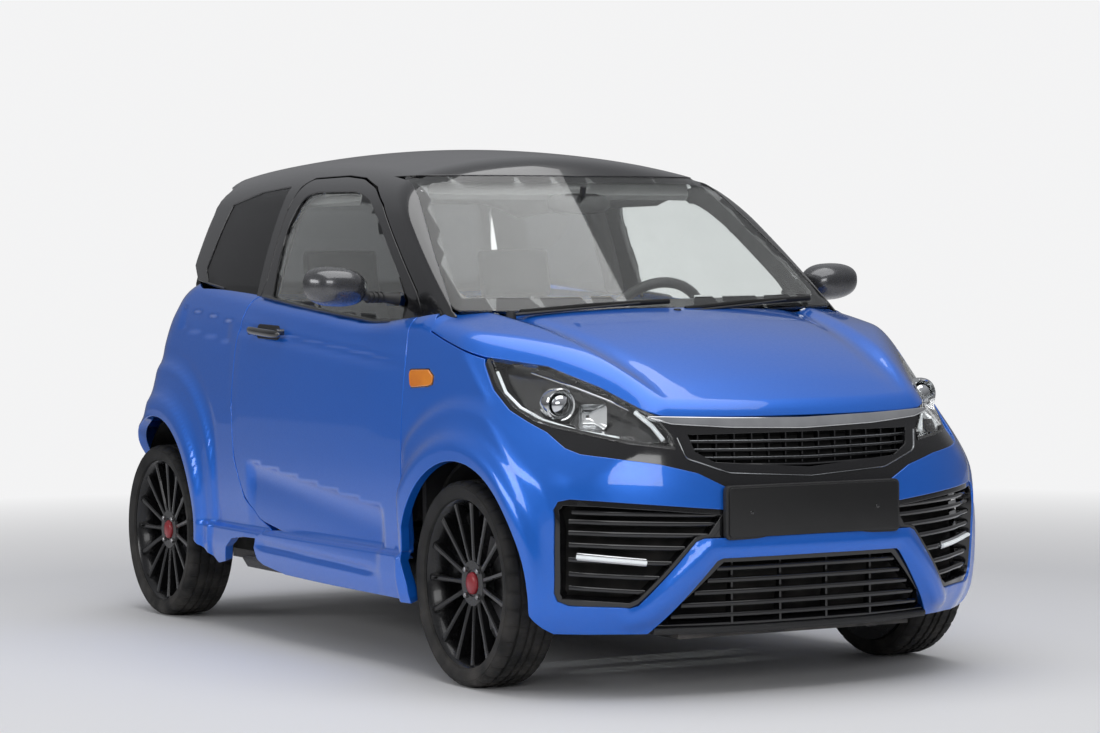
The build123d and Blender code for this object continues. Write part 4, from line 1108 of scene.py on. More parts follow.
def face_normals(place: Array, tri: Array, guide: Array) -> Array:
    """Vertex directions from the faces round them, on the guide's side."""
    a, b, c = place[tri[:, 0]], place[tri[:, 1]], place[tri[:, 2]]
    flat = np.cross(b - a, c - a)
    flat *= np.sign((flat * guide[tri[:, 0]]).sum(axis=1))[:, None]
    total = np.zeros_like(place)
    for k in range(3):
        np.add.at(total, tri[:, k], flat)
    return total / np.maximum(np.linalg.norm(total, axis=1), TINY)[:, None]


BODY = BodySkin()
CABIN = CabinSkin()


def on_body(view: View, sign: float = 1.0, inset: float = 0.0) -> Caster:
    """Throw outlines onto the lower body."""
    return Caster(BODY, view, sign, inset)


def on_cabin(view: View, sign: float = 1.0, inset: float = 0.0) -> Caster:
    """Throw outlines onto the cabin."""
    return Caster(CABIN, view, sign, inset, FAN_AT, 0.3)


# ------------------------------------------------------------------ lower body
LAMP_STEP = 0.0085
DOOR_EDGE = [(-0.552, 0.335), (-0.5, 0.322), (0.216, 0.328), (0.38, 0.352), (0.48, 0.412), (0.551, 0.527),
    (0.577, 0.69), (0.568, 0.86), (0.535, 0.963), (0.5, 1.012), (-0.3, 0.944), (-0.48, 0.948),
    (-0.552, 0.954)]
DOOR_ROUND = [0.03, 0.0, 0.1, 0.12, 0.14, 0.2, 0.3, 0.2, 0.03, 0.01, 0.06, 0.0, 0.01]
BONNET_SIDE = [(-0.655, 0.972), (-0.672, 0.922), (-0.76, 0.898), (-0.937, 0.856)]
BONNET_LAMP = [(-0.937, 0.856), (-1.09, 0.833), (-1.237, 0.782), (-1.344, 0.736), (-1.392, 0.7145)]
FRONT_ARCH = (-0.91, 0.268, 0.32)
REAR_ARCH = (1.131, 0.308, 0.322)


def shifted(points: Sequence[Point2], across: float, up: float) -> list[Point2]:
    """The outline moved by a step."""
    return [(a + across, b + up) for a, b in points]


def trace(run: Sequence[Point2], source: Caster, target: Caster) -> list[Point2]:
    """An open run drawn in one view, given in another."""
    return [tuple(q) for q in target.flat(source.cast(np.array(open_run(run))))]


def spot_run(places: Sequence[Point3], target: Caster) -> list[Point2]:
    """Places near the skin as flat points of a view."""
    return [tuple(q) for q in target.flat(np.array(places, float))]


@dataclass
class Bonnet:
    """The bonnet lid with its raised side creases."""

    rear_middle: float = -0.768
    front_z: float = 0.7145
    front_dip: float = 0.008

    def build(self) -> bpy.types.Object:
        """Mesh the lid."""
        fan = on_body(View.FAN)
        side = on_body(View.SIDE)
        left = trace(BONNET_SIDE, side, fan) + trace(BONNET_LAMP, side, fan)[1:]
        front = [(0.388 * math.cos(a), self.front_z - self.front_dip * math.sin(a))
            for a in np.linspace(0.12, math.pi - 0.12, 15)]
        front = trace(front, on_body(View.FRONT), fan)
        right = mirror_run(left)
        rear = [(0.64 * s, self.rear_middle + 0.108 * s * s) for s in np.linspace(-0.97, 0.97, 17)]
        rear = trace(rear, on_body(View.TOP), fan)
        outline = left + front + right + rear
        return Panel("bonnet_skin", fan, outline, BLUE_PAINT, "bonnet", step=0.016, depth=0.018,
            backs=("bonnet",)).build()


@dataclass
class FrontClip:
    """Wings and bumper as one skin, with the bar that frames the lower grille."""

    bar_line: tuple[Point2, ...] = ((0.462, 0.196), (0.29, 0.381), (-0.29, 0.381), (-0.462, 0.196))
    bar_half: float = 0.03
    bar_height: float = 0.014
    sill_z: float = 0.325

    def lower_run(self) -> list[Point3]:
        """The headlamp's and grille's lower edge on the left, from the lamp's outer point inwards."""
        return [(0.655, -0.945, 0.836), (0.66, -1.006, 0.772), (0.651, -1.079, 0.721), (0.628, -1.145, 0.69),
            (0.613, -1.2, 0.668), (0.593, -1.262, 0.63), (0.573, -1.303, 0.616), (0.525, -1.359, 0.608),
            (0.419, -1.423, 0.591), (0.321, -1.453, 0.566), (0.238, -1.472, 0.524)]

    def left_half(self, wrap: Caster) -> list[Point2]:
        """The outline from the door's foot to the middle of the bar, on the left."""
        side, front = on_body(View.SIDE), on_body(View.FRONT)
        run = trace([(-0.5585, self.sill_z), (-0.5585, 0.952), (-0.64, 0.962)], side, wrap)
        run += trace(shifted(BONNET_SIDE, -0.002, -LAMP_STEP), side, wrap)[1:]
        run += spot_run(self.lower_run(), wrap)
        inner = [(0.238, 0.476), (0.4, 0.491), (0.56, 0.505), (0.612, 0.5085), (0.634, 0.502), (0.645, 0.482),
            (0.644, 0.38), (0.64, 0.27), (0.632, 0.248), (0.61, 0.237), (0.48, 0.232), (0.462, 0.24),
            (0.33, 0.3965), (0.31, 0.4045), (0.0, 0.405)]
        return run + trace(inner, front, wrap)

    def foot(self, wrap: Caster) -> list[Point2]:
        """The lower outline from the middle to the door's foot, on the left."""
        side, front = on_body(View.SIDE), on_body(View.FRONT)
        run = trace([(0.0, 0.357), (0.262, 0.356), (0.276, 0.348), (0.425, 0.166)], front, wrap)
        y, z, r = FRONT_ARCH
        lip = [(-1.248, 0.166), *arc((y, z), r, 190.0, 24.0, 34), (-0.612, 0.33)]
        return run + trace(lip, side, wrap)

    def raise_bar(self, flat: Array, place: Array, out: Array) -> Array:
        """Lift the bar off the skin."""
        bar = np.array(self.bar_line)
        best = run_distance(place[:, [0, 2]], bar, bar[1:])
        lift = self.bar_height * ramp((self.bar_half + 0.012 - best) / 0.03)
        lift *= ramp((place[:, 2] - 0.165) / 0.05) * ramp((0.56 - np.abs(place[:, 0])) / 0.08)
        return place + out * lift[:, None]

    def build(self) -> bpy.types.Object:
        """Mesh the clip."""
        wrap = on_body(View.WRAP)
        top, foot = self.left_half(wrap), self.foot(wrap)
        outline = top + mirror_run(top)[1:] + mirror_run(foot)[:-1] + foot[:-1]
        return Panel("front_clip", wrap, outline, BLUE_PAINT, "shell", step=0.0115, depth=0.022,
            backs=("front_wings", "front_bumper"), shape=self.raise_bar).build()


def under_crest(outline: Sequence[Point2]) -> list[Point2]:
    """A side outline kept below the line where the body turns in under the windows.

    Args:
        outline: Points (y, z).

    Returns:
        The denser outline, no higher than that line.
    """
    points = np.array(dense(outline, 0.012))
    x = 0.632 - 0.085 * ramp((points[:, 0] - 0.95) / 0.25)
    low, high = np.full(len(points), 0.7), np.full(len(points), 1.2)
    for _ in range(24):
        mid = (low + high) / 2
        out = BODY(np.stack([x, points[:, 0], mid], 1)) > 0
        high, low = np.where(out, mid, high), np.where(out, low, mid)
    points[:, 1] = np.minimum(points[:, 1], low - 0.0005)
    return [tuple(p) for p in points]


@dataclass
class BodySide:
    """One side: door, rear quarter and sill."""

    sign: float

    @property
    def word(self) -> str:
        """The side's name."""
        return side_word(self.sign)

    def door(self) -> bpy.types.Object:
        """The painted lower door."""
        outline = under_crest(fillet(DOOR_EDGE, DOOR_ROUND))
        return Panel(f"door_skin_{self.word}", on_body(View.SIDE, self.sign), outline, BLUE_PAINT,
            f"door_{self.word}", step=0.0125, depth=0.03, backs=(f"door_{self.word}",)).build()

    def quarter(self) -> bpy.types.Object:
        """The rear quarter round its wheel arch."""
        y, z, r = REAR_ARCH
        behind_door = [(0.388, 0.352), (0.487, 0.408), (0.558, 0.524), (0.5835, 0.69), (0.5745, 0.862),
            (0.542, 0.965), (0.506, 1.019)]
        side, back = on_body(View.SIDE), on_body(View.BACK)
        top = [(0.7, 1.032), (0.984, 1.057), (1.12, 1.067), (1.19, 1.06)]
        lamp = [(1.206, 0.99), (1.25, 0.905), (1.316, 0.796), (1.352, 0.784)]
        rear = trace([(0.556, 0.783), (0.556, 0.605)], back, side)
        lip = arc((y, z), r, 50.0, 188.0, 40)
        end = [(0.7, 0.2), (0.64, 0.21), (0.612, 0.255), (0.56, 0.285), (0.47, 0.296), (0.38, 0.298),
            (0.3, 0.325)]
        outline = under_crest([*behind_door, *top, *lamp, *rear, (1.345, 0.604), *lip, *end])
        return Panel(f"quarter_skin_{self.word}", on_body(View.SIDE, self.sign), outline, BLUE_PAINT, "shell",
            step=0.0125, depth=0.022, backs=("rear_quarters",)).build()

    def sill(self) -> bpy.types.Object:
        """The sill skirt with its ledge and groove."""
        outline = [(-0.612, 0.33), (-0.6, 0.3255), (0.23, 0.327), (0.3, 0.324), (0.38, 0.297), (0.392, 0.268),
            (0.38, 0.235), (0.345, 0.222), (0.196, 0.204), (-0.06, 0.2), (-0.648, 0.196), (-0.64, 0.24)]
        return Panel(f"sill_skin_{self.word}", on_body(View.SIDE, self.sign), outline, BLUE_PAINT, "shell",
            step=0.009, depth=0.03, backs=("sills",)).build()


# ------------------------------------------------------------------ cabin and tail
CABIN_FAN = (0.0, 0.25, 0.45)
DOOR_FRAME = [(-0.552, 0.94), (-0.552, 0.952), (-0.49, 1.018), (-0.34, 1.131), (-0.165, 1.258), (-0.06, 1.31),
    (0.06, 1.3395), (0.18, 1.3495), (0.4, 1.3485), (0.448, 1.33), (0.475, 1.261), (0.475, 1.06), (0.5, 1.0)]
DOOR_GLASS = [(0.412, 0.99), (0.436, 1.2), (0.394, 1.302), (0.3, 1.311), (0.03, 1.306), (-0.08, 1.277),
    (-0.19, 1.209), (-0.405, 1.046), (-0.47, 0.985), (-0.44, 0.93), (-0.3, 0.93)]
QUARTER_GLASS = [(0.535, 1.0), (1.01, 1.045), (1.06, 1.085), (0.985, 1.288), (0.76, 1.322), (0.535, 1.334)]
SCREEN_SIDE = [(0.607, 0.97), (0.566, 1.11), (0.481, 1.345)]
ROOF_REAR_Y = 1.097


def cabin_fan(inset: float = 0.0) -> Caster:
    """Throw outlines onto the cabin from a point inside it."""
    return Caster(CABIN, View.FAN, 1.0, inset, CABIN_FAN)


@dataclass
class RoofFrame:
    """The black roof with its pillars, as one skin."""

    header_z: float = 1.347

    def build(self) -> None:
        """Mesh the roof with its pillars and the surround of the windscreen."""
        fan, side, front = cabin_fan(), on_cabin(View.SIDE), on_cabin(View.FRONT)
        frame_gap = [(-0.5585, 0.94), (-0.497, 1.024), (-0.345, 1.1375), (-0.168, 1.2655), (-0.062, 1.3175),
            (0.06, 1.3465), (0.18, 1.3565), (0.402, 1.3555), (0.4535, 1.335), (0.482, 1.262), (0.482, 1.05),
            (0.508, 1.005)]
        left = trace([(-0.7, 0.955), *frame_gap, (0.7, 1.018), (0.984, 1.04), (1.12, 1.055)], side, fan)
        rear = trace([(0.56, 1.1), (0.53, 1.2), (0.49, 1.33)], on_cabin(View.BACK), fan)
        top = trace([(0.462, ROOF_REAR_Y), (0.0, ROOF_REAR_Y)], on_cabin(View.TOP), fan)
        screen = trace([(0.0, self.header_z), (0.44, self.header_z), *reversed(SCREEN_SIDE)], front, fan)
        half = [*left, *rear[:2], *top]
        outline = half + mirror_run(half)[1:] + mirror_run(screen)[:-1] + screen
        holes = [trace([*QUARTER_GLASS, QUARTER_GLASS[0]], on_cabin(View.SIDE), fan)[:-1]]
        holes.append(mirror_run(holes[0]))
        Panel("roof_skin", fan, outline, BLACK_PAINT, "shell", holes=holes, step=0.021, depth=0.026,
            backs=("roof_frame",)).build()

    def cowl(self) -> bpy.types.Object:
        """The black strip between bonnet and windscreen."""
        lump = Lump()
        rows = []
        for s in np.linspace(-1, 1, 33):
            x = 0.625 * s
            y = -0.768 + 0.108 * (x / 0.64) ** 2
            z = float(BODY.bonnet_top(np.array([x]), np.array([y]))[0])
            rows.append([(x, y + 0.007, z - 0.03), (x, y + 0.008, z - 0.004), (x, y + 0.03, z - 0.002),
                (x, y + 0.075, z + 0.012), (x, y + 0.075, z - 0.02)])
        lump.grid(rows)
        return lump.piece("cowl_strip", SATIN_BLACK, "shell", backs=("cowl",))


@dataclass
class Glazing:
    """Windscreen, door glass, quarter glass and their black borders."""

    thick: float = 0.004

    def screen(self) -> None:
        """The windscreen with its printed border."""
        outline = [*((-x, z) for x, z in SCREEN_SIDE), (0.0, 1.347), *reversed(SCREEN_SIDE), (0.0, 0.962)]
        outline = fillet(outline, [0.02, 0.0, 0.035, 0.0, 0.035, 0.0, 0.02, 0.0])
        caster = on_cabin(View.FRONT, inset=0.0015)
        Panel("windscreen_glass", caster, outline, CLEAR_GLASS, "shell", step=0.03, roll=0.0008,
            thin=self.thick, backs=("windscreen",)).build()
        inner = fillet([(-0.566, 0.998), (-0.53, 1.11), (-0.452, 1.322), (0.452, 1.322), (0.53, 1.11),
            (0.566, 0.998), (0.0, 0.992)], [0.03, 0.0, 0.05, 0.05, 0.0, 0.03, 0.0])
        Panel("windscreen_border", on_cabin(View.FRONT, inset=0.008), outline, SATIN_BLACK, "shell",
            holes=[inner], step=0.03, roll=0.0003, depth=0.0008).build()

    def sides(self, sign: float) -> None:
        """Door glass, quarter glass and the door's window frame on one side."""
        word = side_word(sign)
        caster = on_cabin(View.SIDE, sign)
        frame = fillet(DOOR_FRAME, [0, 0, 0.03, 0.3, 0.2, 0.2, 0.2, 0.2, 0.06, 0.06, 0.1, 0.03, 0.0])
        glass = fillet(DOOR_GLASS, [0.02, 0.2, 0.08, 0.1, 0.3, 0.25, 0.3, 0.1, 0.03, 0.01, 0.01])
        Panel(f"door_frame_{word}", caster, frame, BLACK_PAINT, f"door_{word}", holes=[glass], step=0.014,
            depth=0.022).build()
        wide = shifted_out(glass, 0.008)
        Panel(f"door_glass_{word}_pane", on_cabin(View.SIDE, sign, 0.006), wide, CLEAR_GLASS, f"door_{word}",
            step=0.03, roll=0.0006, thin=self.thick, backs=(f"door_glass_{word}",)).build()
        seal = Lump()
        run = [(0.47, 1.005), (0.1, 0.972), (-0.3, 0.9395), (-0.48, 0.942)]
        seal.tube(on_cabin(View.SIDE, sign, -0.002).lay(run, 0.05), 0.0105, 8, 0.7)
        seal.piece(f"belt_seal_{word}", GLOSS_BLACK, f"door_{word}")
        outline = fillet(QUARTER_GLASS, [0.02, 0.02, 0.06, 0.05, 0.2, 0.02])
        Panel(f"quarter_pane_{word}", on_cabin(View.SIDE, sign, 0.0035), shifted_out(outline, 0.006),
            DARK_GLASS, "shell", step=0.03, roll=0.0006, thin=self.thick, backs=("quarter_glass",)).build()

    def build(self) -> None:
        """Mesh all the panes."""
        self.screen()
        for sign in (1.0, -1.0):
            self.sides(sign)


def shifted_out(points: Sequence[Point2], grow: float) -> list[Point2]:
    """A closed outline moved outwards by a width.

    Args:
        points: Corners in order.
        grow: Width.

    Returns:
        The wider outline.
    """
    ring = np.array(points)
    ahead, back = np.roll(ring, -1, axis=0), np.roll(ring, 1, axis=0)
    along = ahead - back
    along /= np.maximum(np.linalg.norm(along, axis=1), TINY)[:, None]
    area = float((ring[:, 0] * ahead[:, 1] - ahead[:, 0] * ring[:, 1]).sum())
    out = np.stack([along[:, 1], -along[:, 0]], 1) * (1 if area > 0 else -1)
    return [tuple(p) for p in ring + out * grow]


@dataclass
class Tail:
    """Tailgate, rear glass, spoiler, rear bumper and tail lamps."""

    half: float = 0.548

    def gate(self) -> None:
        """The painted lower gate, its black upper frame, glass and spoiler."""
        lower = [(-self.half, 0.608), (self.half, 0.608), (self.half, 0.9), (0.538, 1.005), (-0.538, 1.005),
            (-self.half, 0.9)]
        Panel("tailgate_skin", on_body(View.BACK), fillet(lower, [0.05, 0.05, 0.3, 0.04, 0.04, 0.3]),
            BLUE_PAINT, "tailgate", step=0.02, depth=0.02, backs=("tailgate",), shape=self.dish).build()
        upper = trapezoid(0.536, 1.0105, 0.484, 1.345)
        pane = fillet(trapezoid(0.505, 1.046, 0.448, 1.3), 0.05)
        back = on_cabin(View.BACK)
        Panel("tailgate_frame", back, fillet(upper, 0.03), BLACK_PAINT, "tailgate", holes=[pane], step=0.02,
            depth=0.02).build()
        Panel("rear_pane", on_cabin(View.BACK, inset=0.0035), shifted_out(pane, 0.008), DARK_GLASS,
            "tailgate", step=0.04, roll=0.0006, thin=0.004, backs=("tailgate_glass",)).build()
        Panel("spoiler_skin", cabin_fan(), self.spoiler_edge(), BLACK_PAINT, "tailgate", step=0.02,
            depth=0.02).build()

    def spoiler_edge(self) -> list[Point2]:
        """The spoiler's outline behind the roof."""
        fan = cabin_fan()
        top = trace([(0.0, ROOF_REAR_Y + 0.007), (0.458, ROOF_REAR_Y + 0.007)], on_cabin(View.TOP), fan)
        back = trace([(0.488, 1.345), (0.0, 1.345)], on_cabin(View.BACK), fan)
        half = top + back
        return half + mirror_run(half)[1:-1]

    def dish(self, flat: Array, place: Array, out: Array) -> Array:
        """Press the plate recess and a waist crease into the gate."""
        x, z = flat[:, 0], flat[:, 1]
        off = np.maximum(np.abs(x) / 0.285, np.abs(z - 0.735) / 0.08)
        plate = 0.012 * ramp((1.0 - off) / 0.16)
        crease = 0.004 * bell((z - 0.872 + 0.06 * x * x) / 0.012)
        return place - out * (plate + crease)[:, None]

    def bumper(self) -> None:
        """The rear bumper with its dark valance and reflectors."""
        wrap = Caster(BODY, View.REAR_WRAP)
        side, back = on_body(View.SIDE), on_body(View.BACK)
        y, z, r = REAR_ARCH
        lip = arc((y, z), r, 62.0, 30.0, 10)
        left = trace([*lip, (1.43, 0.4), (1.44, 0.33), (1.436, 0.26), (1.415, 0.185)], side, wrap)
        top = trace([(0.0, 0.6), (0.5, 0.6)], back, wrap) + trace([(1.345, 0.6), (1.29, 0.5995)], side, wrap)
        foot = trace([(0.47, 0.182), (0.36, 0.27), (0.0, 0.27)], back, wrap)
        half = top + left + foot
        outline = half + mirror_run(half)[1:-1]
        Panel("rear_bumper_skin", wrap, outline, BLUE_PAINT, "shell", step=0.016, depth=0.024,
            backs=("rear_bumper",)).build()
        valance = trapezoid(0.455, 0.176, 0.365, 0.276)
        Panel("rear_valance", on_body(View.BACK, inset=0.01), fillet(valance, 0.02), BLACK_TRIM, "shell",
            step=0.02, depth=0.03).build()
        for sign in (1, -1):
            strip = fillet([(sign * 0.3, 0.33), (sign * 0.46, 0.338), (sign * 0.46, 0.364),
                (sign * 0.3, 0.356)], 0.006)
            Panel(f"rear_reflector_{side_word(sign)}", on_body(View.BACK, inset=-0.003), strip, RED_LENS,
                "shell", step=0.01, depth=0.006).build()

    def lamps(self) -> None:
        """Red lamps that wrap round the rear corners."""
        wrap = Caster(BODY, View.REAR_WRAP, 1.0, 0.001)
        side, back = on_body(View.SIDE), on_body(View.BACK)
        front = trace([(1.35, 0.788), (1.32, 0.801), (1.254, 0.908), (1.211, 0.99)], side, wrap)
        rear = trace([(0.56, 0.975), (0.56, 0.788)], back, wrap)
        for word, outline in (("left", front + rear), ("right", mirror_run(front + rear))):
            Panel(f"tail_lamp_{word}", wrap, outline, RED_LENS, "shell", step=0.01, depth=0.03,
                backs=("tail_lamps",)).build()

    def build(self) -> None:
        """Mesh the tail."""
        self.gate()
        self.bumper()
        self.lamps()


# ------------------------------------------------------------------ front end
LENS_TOP = [(0.646, -0.944, 0.848), (0.611, -0.976, 0.858), (0.545, -1.091, 0.831), (0.477, -1.237, 0.78),
    (0.435, -1.344, 0.734), (0.405, -1.387, 0.712)]
LENS_FOOT = [(0.373, -1.415, 0.661), (0.369, -1.428, 0.629), (0.481, -1.377, 0.646), (0.54, -1.295, 0.664),
    (0.591, -1.208, 0.682), (0.622, -1.15, 0.698), (0.644, -1.085, 0.73), (0.652, -1.004, 0.789)]


@dataclass
class Blade:
    """A slat that follows the skin across the car."""

    caster: Caster
    run: Sequence[Point2]
    height: float = 0.012
    deep: float = 0.022

    def add_to(self, lump: Lump) -> list[Point3]:
        """Add the slat, and give the points along its front edge."""
        flat = np.array(open_run(self.run, 0.02))
        place = self.caster.cast(flat)
        out = self.caster.normals(place)
        out[:, 2] = 0
        out /= np.maximum(np.linalg.norm(out, axis=1), 1e-9)[:, None]
        rows = []
        for p, n in zip(place, out):
            h = self.height / 2
            profile = [(0.0, 0.0), (-0.0012, h * 0.6), (-0.004, h), (-self.deep, h * 0.75),
                (-self.deep, -h * 0.75), (-0.004, -h), (-0.0012, -h * 0.6)]
            rows.append([(p[0] + n[0] * a, p[1] + n[1] * a, p[2] + b) for a, b in profile])
        lump.grid(rows, closed=True, ends=True)
        return [(p[0], p[1], p[2] + self.height * 0.46) for p in place]


@dataclass
class Nose:
    """The gloss black face: lamp surrounds, grille, plate, intakes and lower grille."""

    grille: tuple[Point2, ...] = ((-0.334, 0.664), (0.334, 0.664), (0.322, 0.62), (0.274, 0.593),
        (0.0, 0.573), (-0.274, 0.593), (-0.322, 0.62))
    intake: tuple[Point2, ...] = ((0.236, 0.474), (0.4, 0.49), (0.56, 0.503), (0.628, 0.505), (0.646, 0.484),
        (0.644, 0.38), (0.64, 0.268), (0.628, 0.243), (0.48, 0.232), (0.455, 0.245), (0.325, 0.396),
        (0.29, 0.402))

    def mask(self) -> None:
        """The black surround of lamps and grille, and the field behind the plate."""
        wrap, front = on_body(View.WRAP, inset=0.0045), on_body(View.FRONT)
        top = trace([(0.0, 0.6975), (0.215, 0.705), (0.392, 0.709)], front, wrap)
        lamp = spot_run([*reversed(LENS_TOP), (0.655, -0.945, 0.836)], wrap)
        foot = spot_run(FrontClip().lower_run()[1:], wrap)
        middle = trace([(0.236, 0.474), (0.29, 0.402), (0.0, 0.402)], front, wrap)
        half = [*top, *lamp, *foot, *middle]
        outline = half + mirror_run(half)[1:-1]
        lens = shifted_out(spot_run([*LENS_TOP, *LENS_FOOT], wrap), -0.004)
        holes = [lens, [(-u, v) for u, v in lens], trace([*self.grille, self.grille[0]], front, wrap)[:-1]]
        Panel("nose_mask", wrap, outline, GLOSS_BLACK, "shell", holes=holes, step=0.016, roll=0.0015,
            depth=0.042, backs=("upper_grille",)).build()

    def bars(self) -> None:
        """Grille slats, their bright edges, the frame line and the chrome strip."""
        front = on_body(View.FRONT)
        Panel("grille_back", on_body(View.FRONT, inset=0.048), shifted_out(list(self.grille), 0.012),
            DARK_WELL, "shell", step=0.03, depth=0.004).build()
        slats, edges = Lump(), Lump()
        for z, half in ((0.644, 0.326), (0.623, 0.318), (0.602, 0.296), (0.585, 0.2)):
            bow = [(-half, z), (-half / 2, z - 0.003), (0.0, z - 0.005), (half / 2, z - 0.003), (half, z)]
            line = Blade(on_body(View.FRONT, inset=0.014), bow, 0.0085, 0.03).add_to(slats)
            if z > 0.6:
                edges.tube(line, 0.0014, 6)
        for x in np.linspace(-0.3, 0.3, 13):
            y = front.at(x, 0.62)[1]
            slats.block((x - 0.002, y + 0.026, 0.58), (x + 0.002, y + 0.046, 0.664))
        slats.piece("grille_slats", GLOSS_BLACK, "shell")
        half = [(0.359, 0.656), (0.345, 0.605), (0.299, 0.589), (0.235, 0.566), (0.0, 0.552)]
        line = open_run(fillet(half + mirror_run(half)[1:], [0, 0.02, 0.04, 0.06, 0.0, 0.06, 0.04, 0.02, 0]),
            0.02)
        edges.tube([tuple(p) for p in on_body(View.FRONT, inset=0.0035).cast(np.array(line))], 0.003, 8, 0.6)
        edges.piece("grille_edges", SATIN_CHROME, "shell")
        strip = [(-0.424, 0.7085), (-0.218, 0.7015), (0.0, 0.6965), (0.218, 0.7015), (0.424, 0.7085),
            (0.37, 0.693), (0.218, 0.6815), (0.0, 0.6745), (-0.218, 0.6815), (-0.37, 0.693)]
        Panel("nose_strip", on_body(View.FRONT, inset=-0.003), fillet(strip,
            [0.0, 0.3, 0.5, 0.3, 0, 0.05, 0.3, 0.5, 0.3, 0.05]), CHROME, "shell", step=0.008, roll=0.004,
            depth=0.008).build()

    def plate(self) -> None:
        """A blank black plate on its holder."""
        holder, plate, pins = Lump(), Lump(), Lump()
        holder.slab([(x, -1.4915, z) for x, z in fillet(trapezoid(0.262, 0.4, 0.262, 0.5355), 0.014)],
            (0, 0.018, 0))
        holder.piece("plate_holder", BLACK_TRIM, "shell", bevel=0.0025)
        ring = fillet(trapezoid(0.255, 0.406, 0.255, 0.53), 0.01)
        plate.slab([(x, -1.4965, z) for x, z in ring], (0, 0.005, 0))
        plate.piece("plate_blank", PLATE_BLACK, "shell", bevel=0.0012)
        for x, z in ((-0.19, 0.468), (0.19, 0.468)):
            pins.turned([(0.0, -1.4985), (0.0035, -1.4985), (0.0055, -1.4972), (0.0058, -1.4955)],
                (x, 0.0, z), 1, 20)
        pins.piece("plate_screws", GLOSS_BLACK, "shell")

    def intakes(self, sign: float) -> None:
        """One side intake with its slats and running light."""
        word = side_word(sign)
        wrap, front = on_body(View.WRAP), on_body(View.FRONT)
        outline = trace([*self.intake, self.intake[0]], front, wrap)[:-1]
        flip_x = [(sign * u, v) for u, v in outline]
        hole = shifted_out(flip_x, -0.013)
        Panel(f"intake_frame_{word}", on_body(View.WRAP, inset=0.004), flip_x, GLOSS_BLACK, "shell",
            holes=[hole], step=0.02, roll=0.002, depth=0.04).build()
        Panel(f"intake_back_{word}", on_body(View.WRAP, inset=0.05), flip_x, DARK_WELL, "shell", step=0.03,
            depth=0.004, backs=("side_intakes",)).build()
        slats = Lump()
        recessed = on_body(View.WRAP, inset=0.01)
        for z, wide, narrow in ((0.466, 0.612, 0.262), (0.443, 0.618, 0.268), (0.415, 0.62, 0.3),
                (0.385, 0.62, 0.36), (0.348, 0.62, 0.392), (0.312, 0.618, 0.42), (0.277, 0.616, 0.452)):
            run = [(sign * u, v) for u, v in trace([(narrow, z - 0.004), (wide, z + 0.008)], front, wrap)]
            Blade(recessed, run, 0.0125, 0.034).add_to(slats)
        slats.piece(f"intake_slats_{word}", GLOSS_BLACK, "shell")
        light, tray = Lump(), Lump()
        run = [(sign * u, v) for u, v in trace([(0.452, 0.348), (0.602, 0.364)], front, wrap)]
        light.tube(on_body(View.WRAP, inset=0.0035).lay(run, 0.02), 0.0062, 10, 0.8)
        light.piece(f"running_light_{word}", LED_WHITE, "shell")
        Blade(on_body(View.WRAP, inset=0.005), run, 0.02, 0.022).add_to(tray)
        tray.piece(f"light_tray_{word}", LAMP_SILVER, "shell", bevel=0.001)

    def lower(self) -> None:
        """The lower grille under the bar, and the splitter."""
        outline = [(-0.255, 0.359), (0.255, 0.359), (0.275, 0.346), (0.42, 0.172), (-0.42, 0.172),
            (-0.275, 0.346)]
        Panel("lower_back", on_body(View.FRONT, inset=0.06), shifted_out(outline, 0.012), DARK_WELL, "shell",
            step=0.04, depth=0.004, backs=("lower_grille",)).build()
        inner = shifted_out(outline, -0.014)
        Panel("lower_frame", on_body(View.FRONT, inset=0.006), outline, GLOSS_BLACK, "shell", holes=[inner],
            step=0.02, depth=0.05).build()
        slats = Lump()
        for z, half in ((0.328, 0.268), (0.298, 0.291), (0.268, 0.322), (0.237, 0.352), (0.208, 0.372)):
            Blade(on_body(View.FRONT, inset=0.012), [(-half, z), (half, z)], 0.0125, 0.036).add_to(slats)
        for x in (-0.21, -0.07, 0.07, 0.21):
            y = on_body(View.FRONT).at(x, 0.26)[1]
            slats.block((x - 0.003, y + 0.03, 0.186), (x + 0.003, y + 0.055, 0.35))
        slats.piece("lower_slats", GLOSS_BLACK, "shell")
        lip = Lump()
        Blade(on_body(View.FRONT, inset=-0.008), [(-0.415, 0.172), (-0.2, 0.17), (0.2, 0.17), (0.415, 0.172)],
            0.018, 0.1).add_to(lip)
        lip.piece("splitter", SATIN_BLACK, "shell", bevel=0.002)

    def build(self) -> None:
        """Mesh the whole face."""
        self.mask()
        self.bars()
        self.plate()
        self.lower()
        for sign in (1.0, -1.0):
            self.intakes(sign)


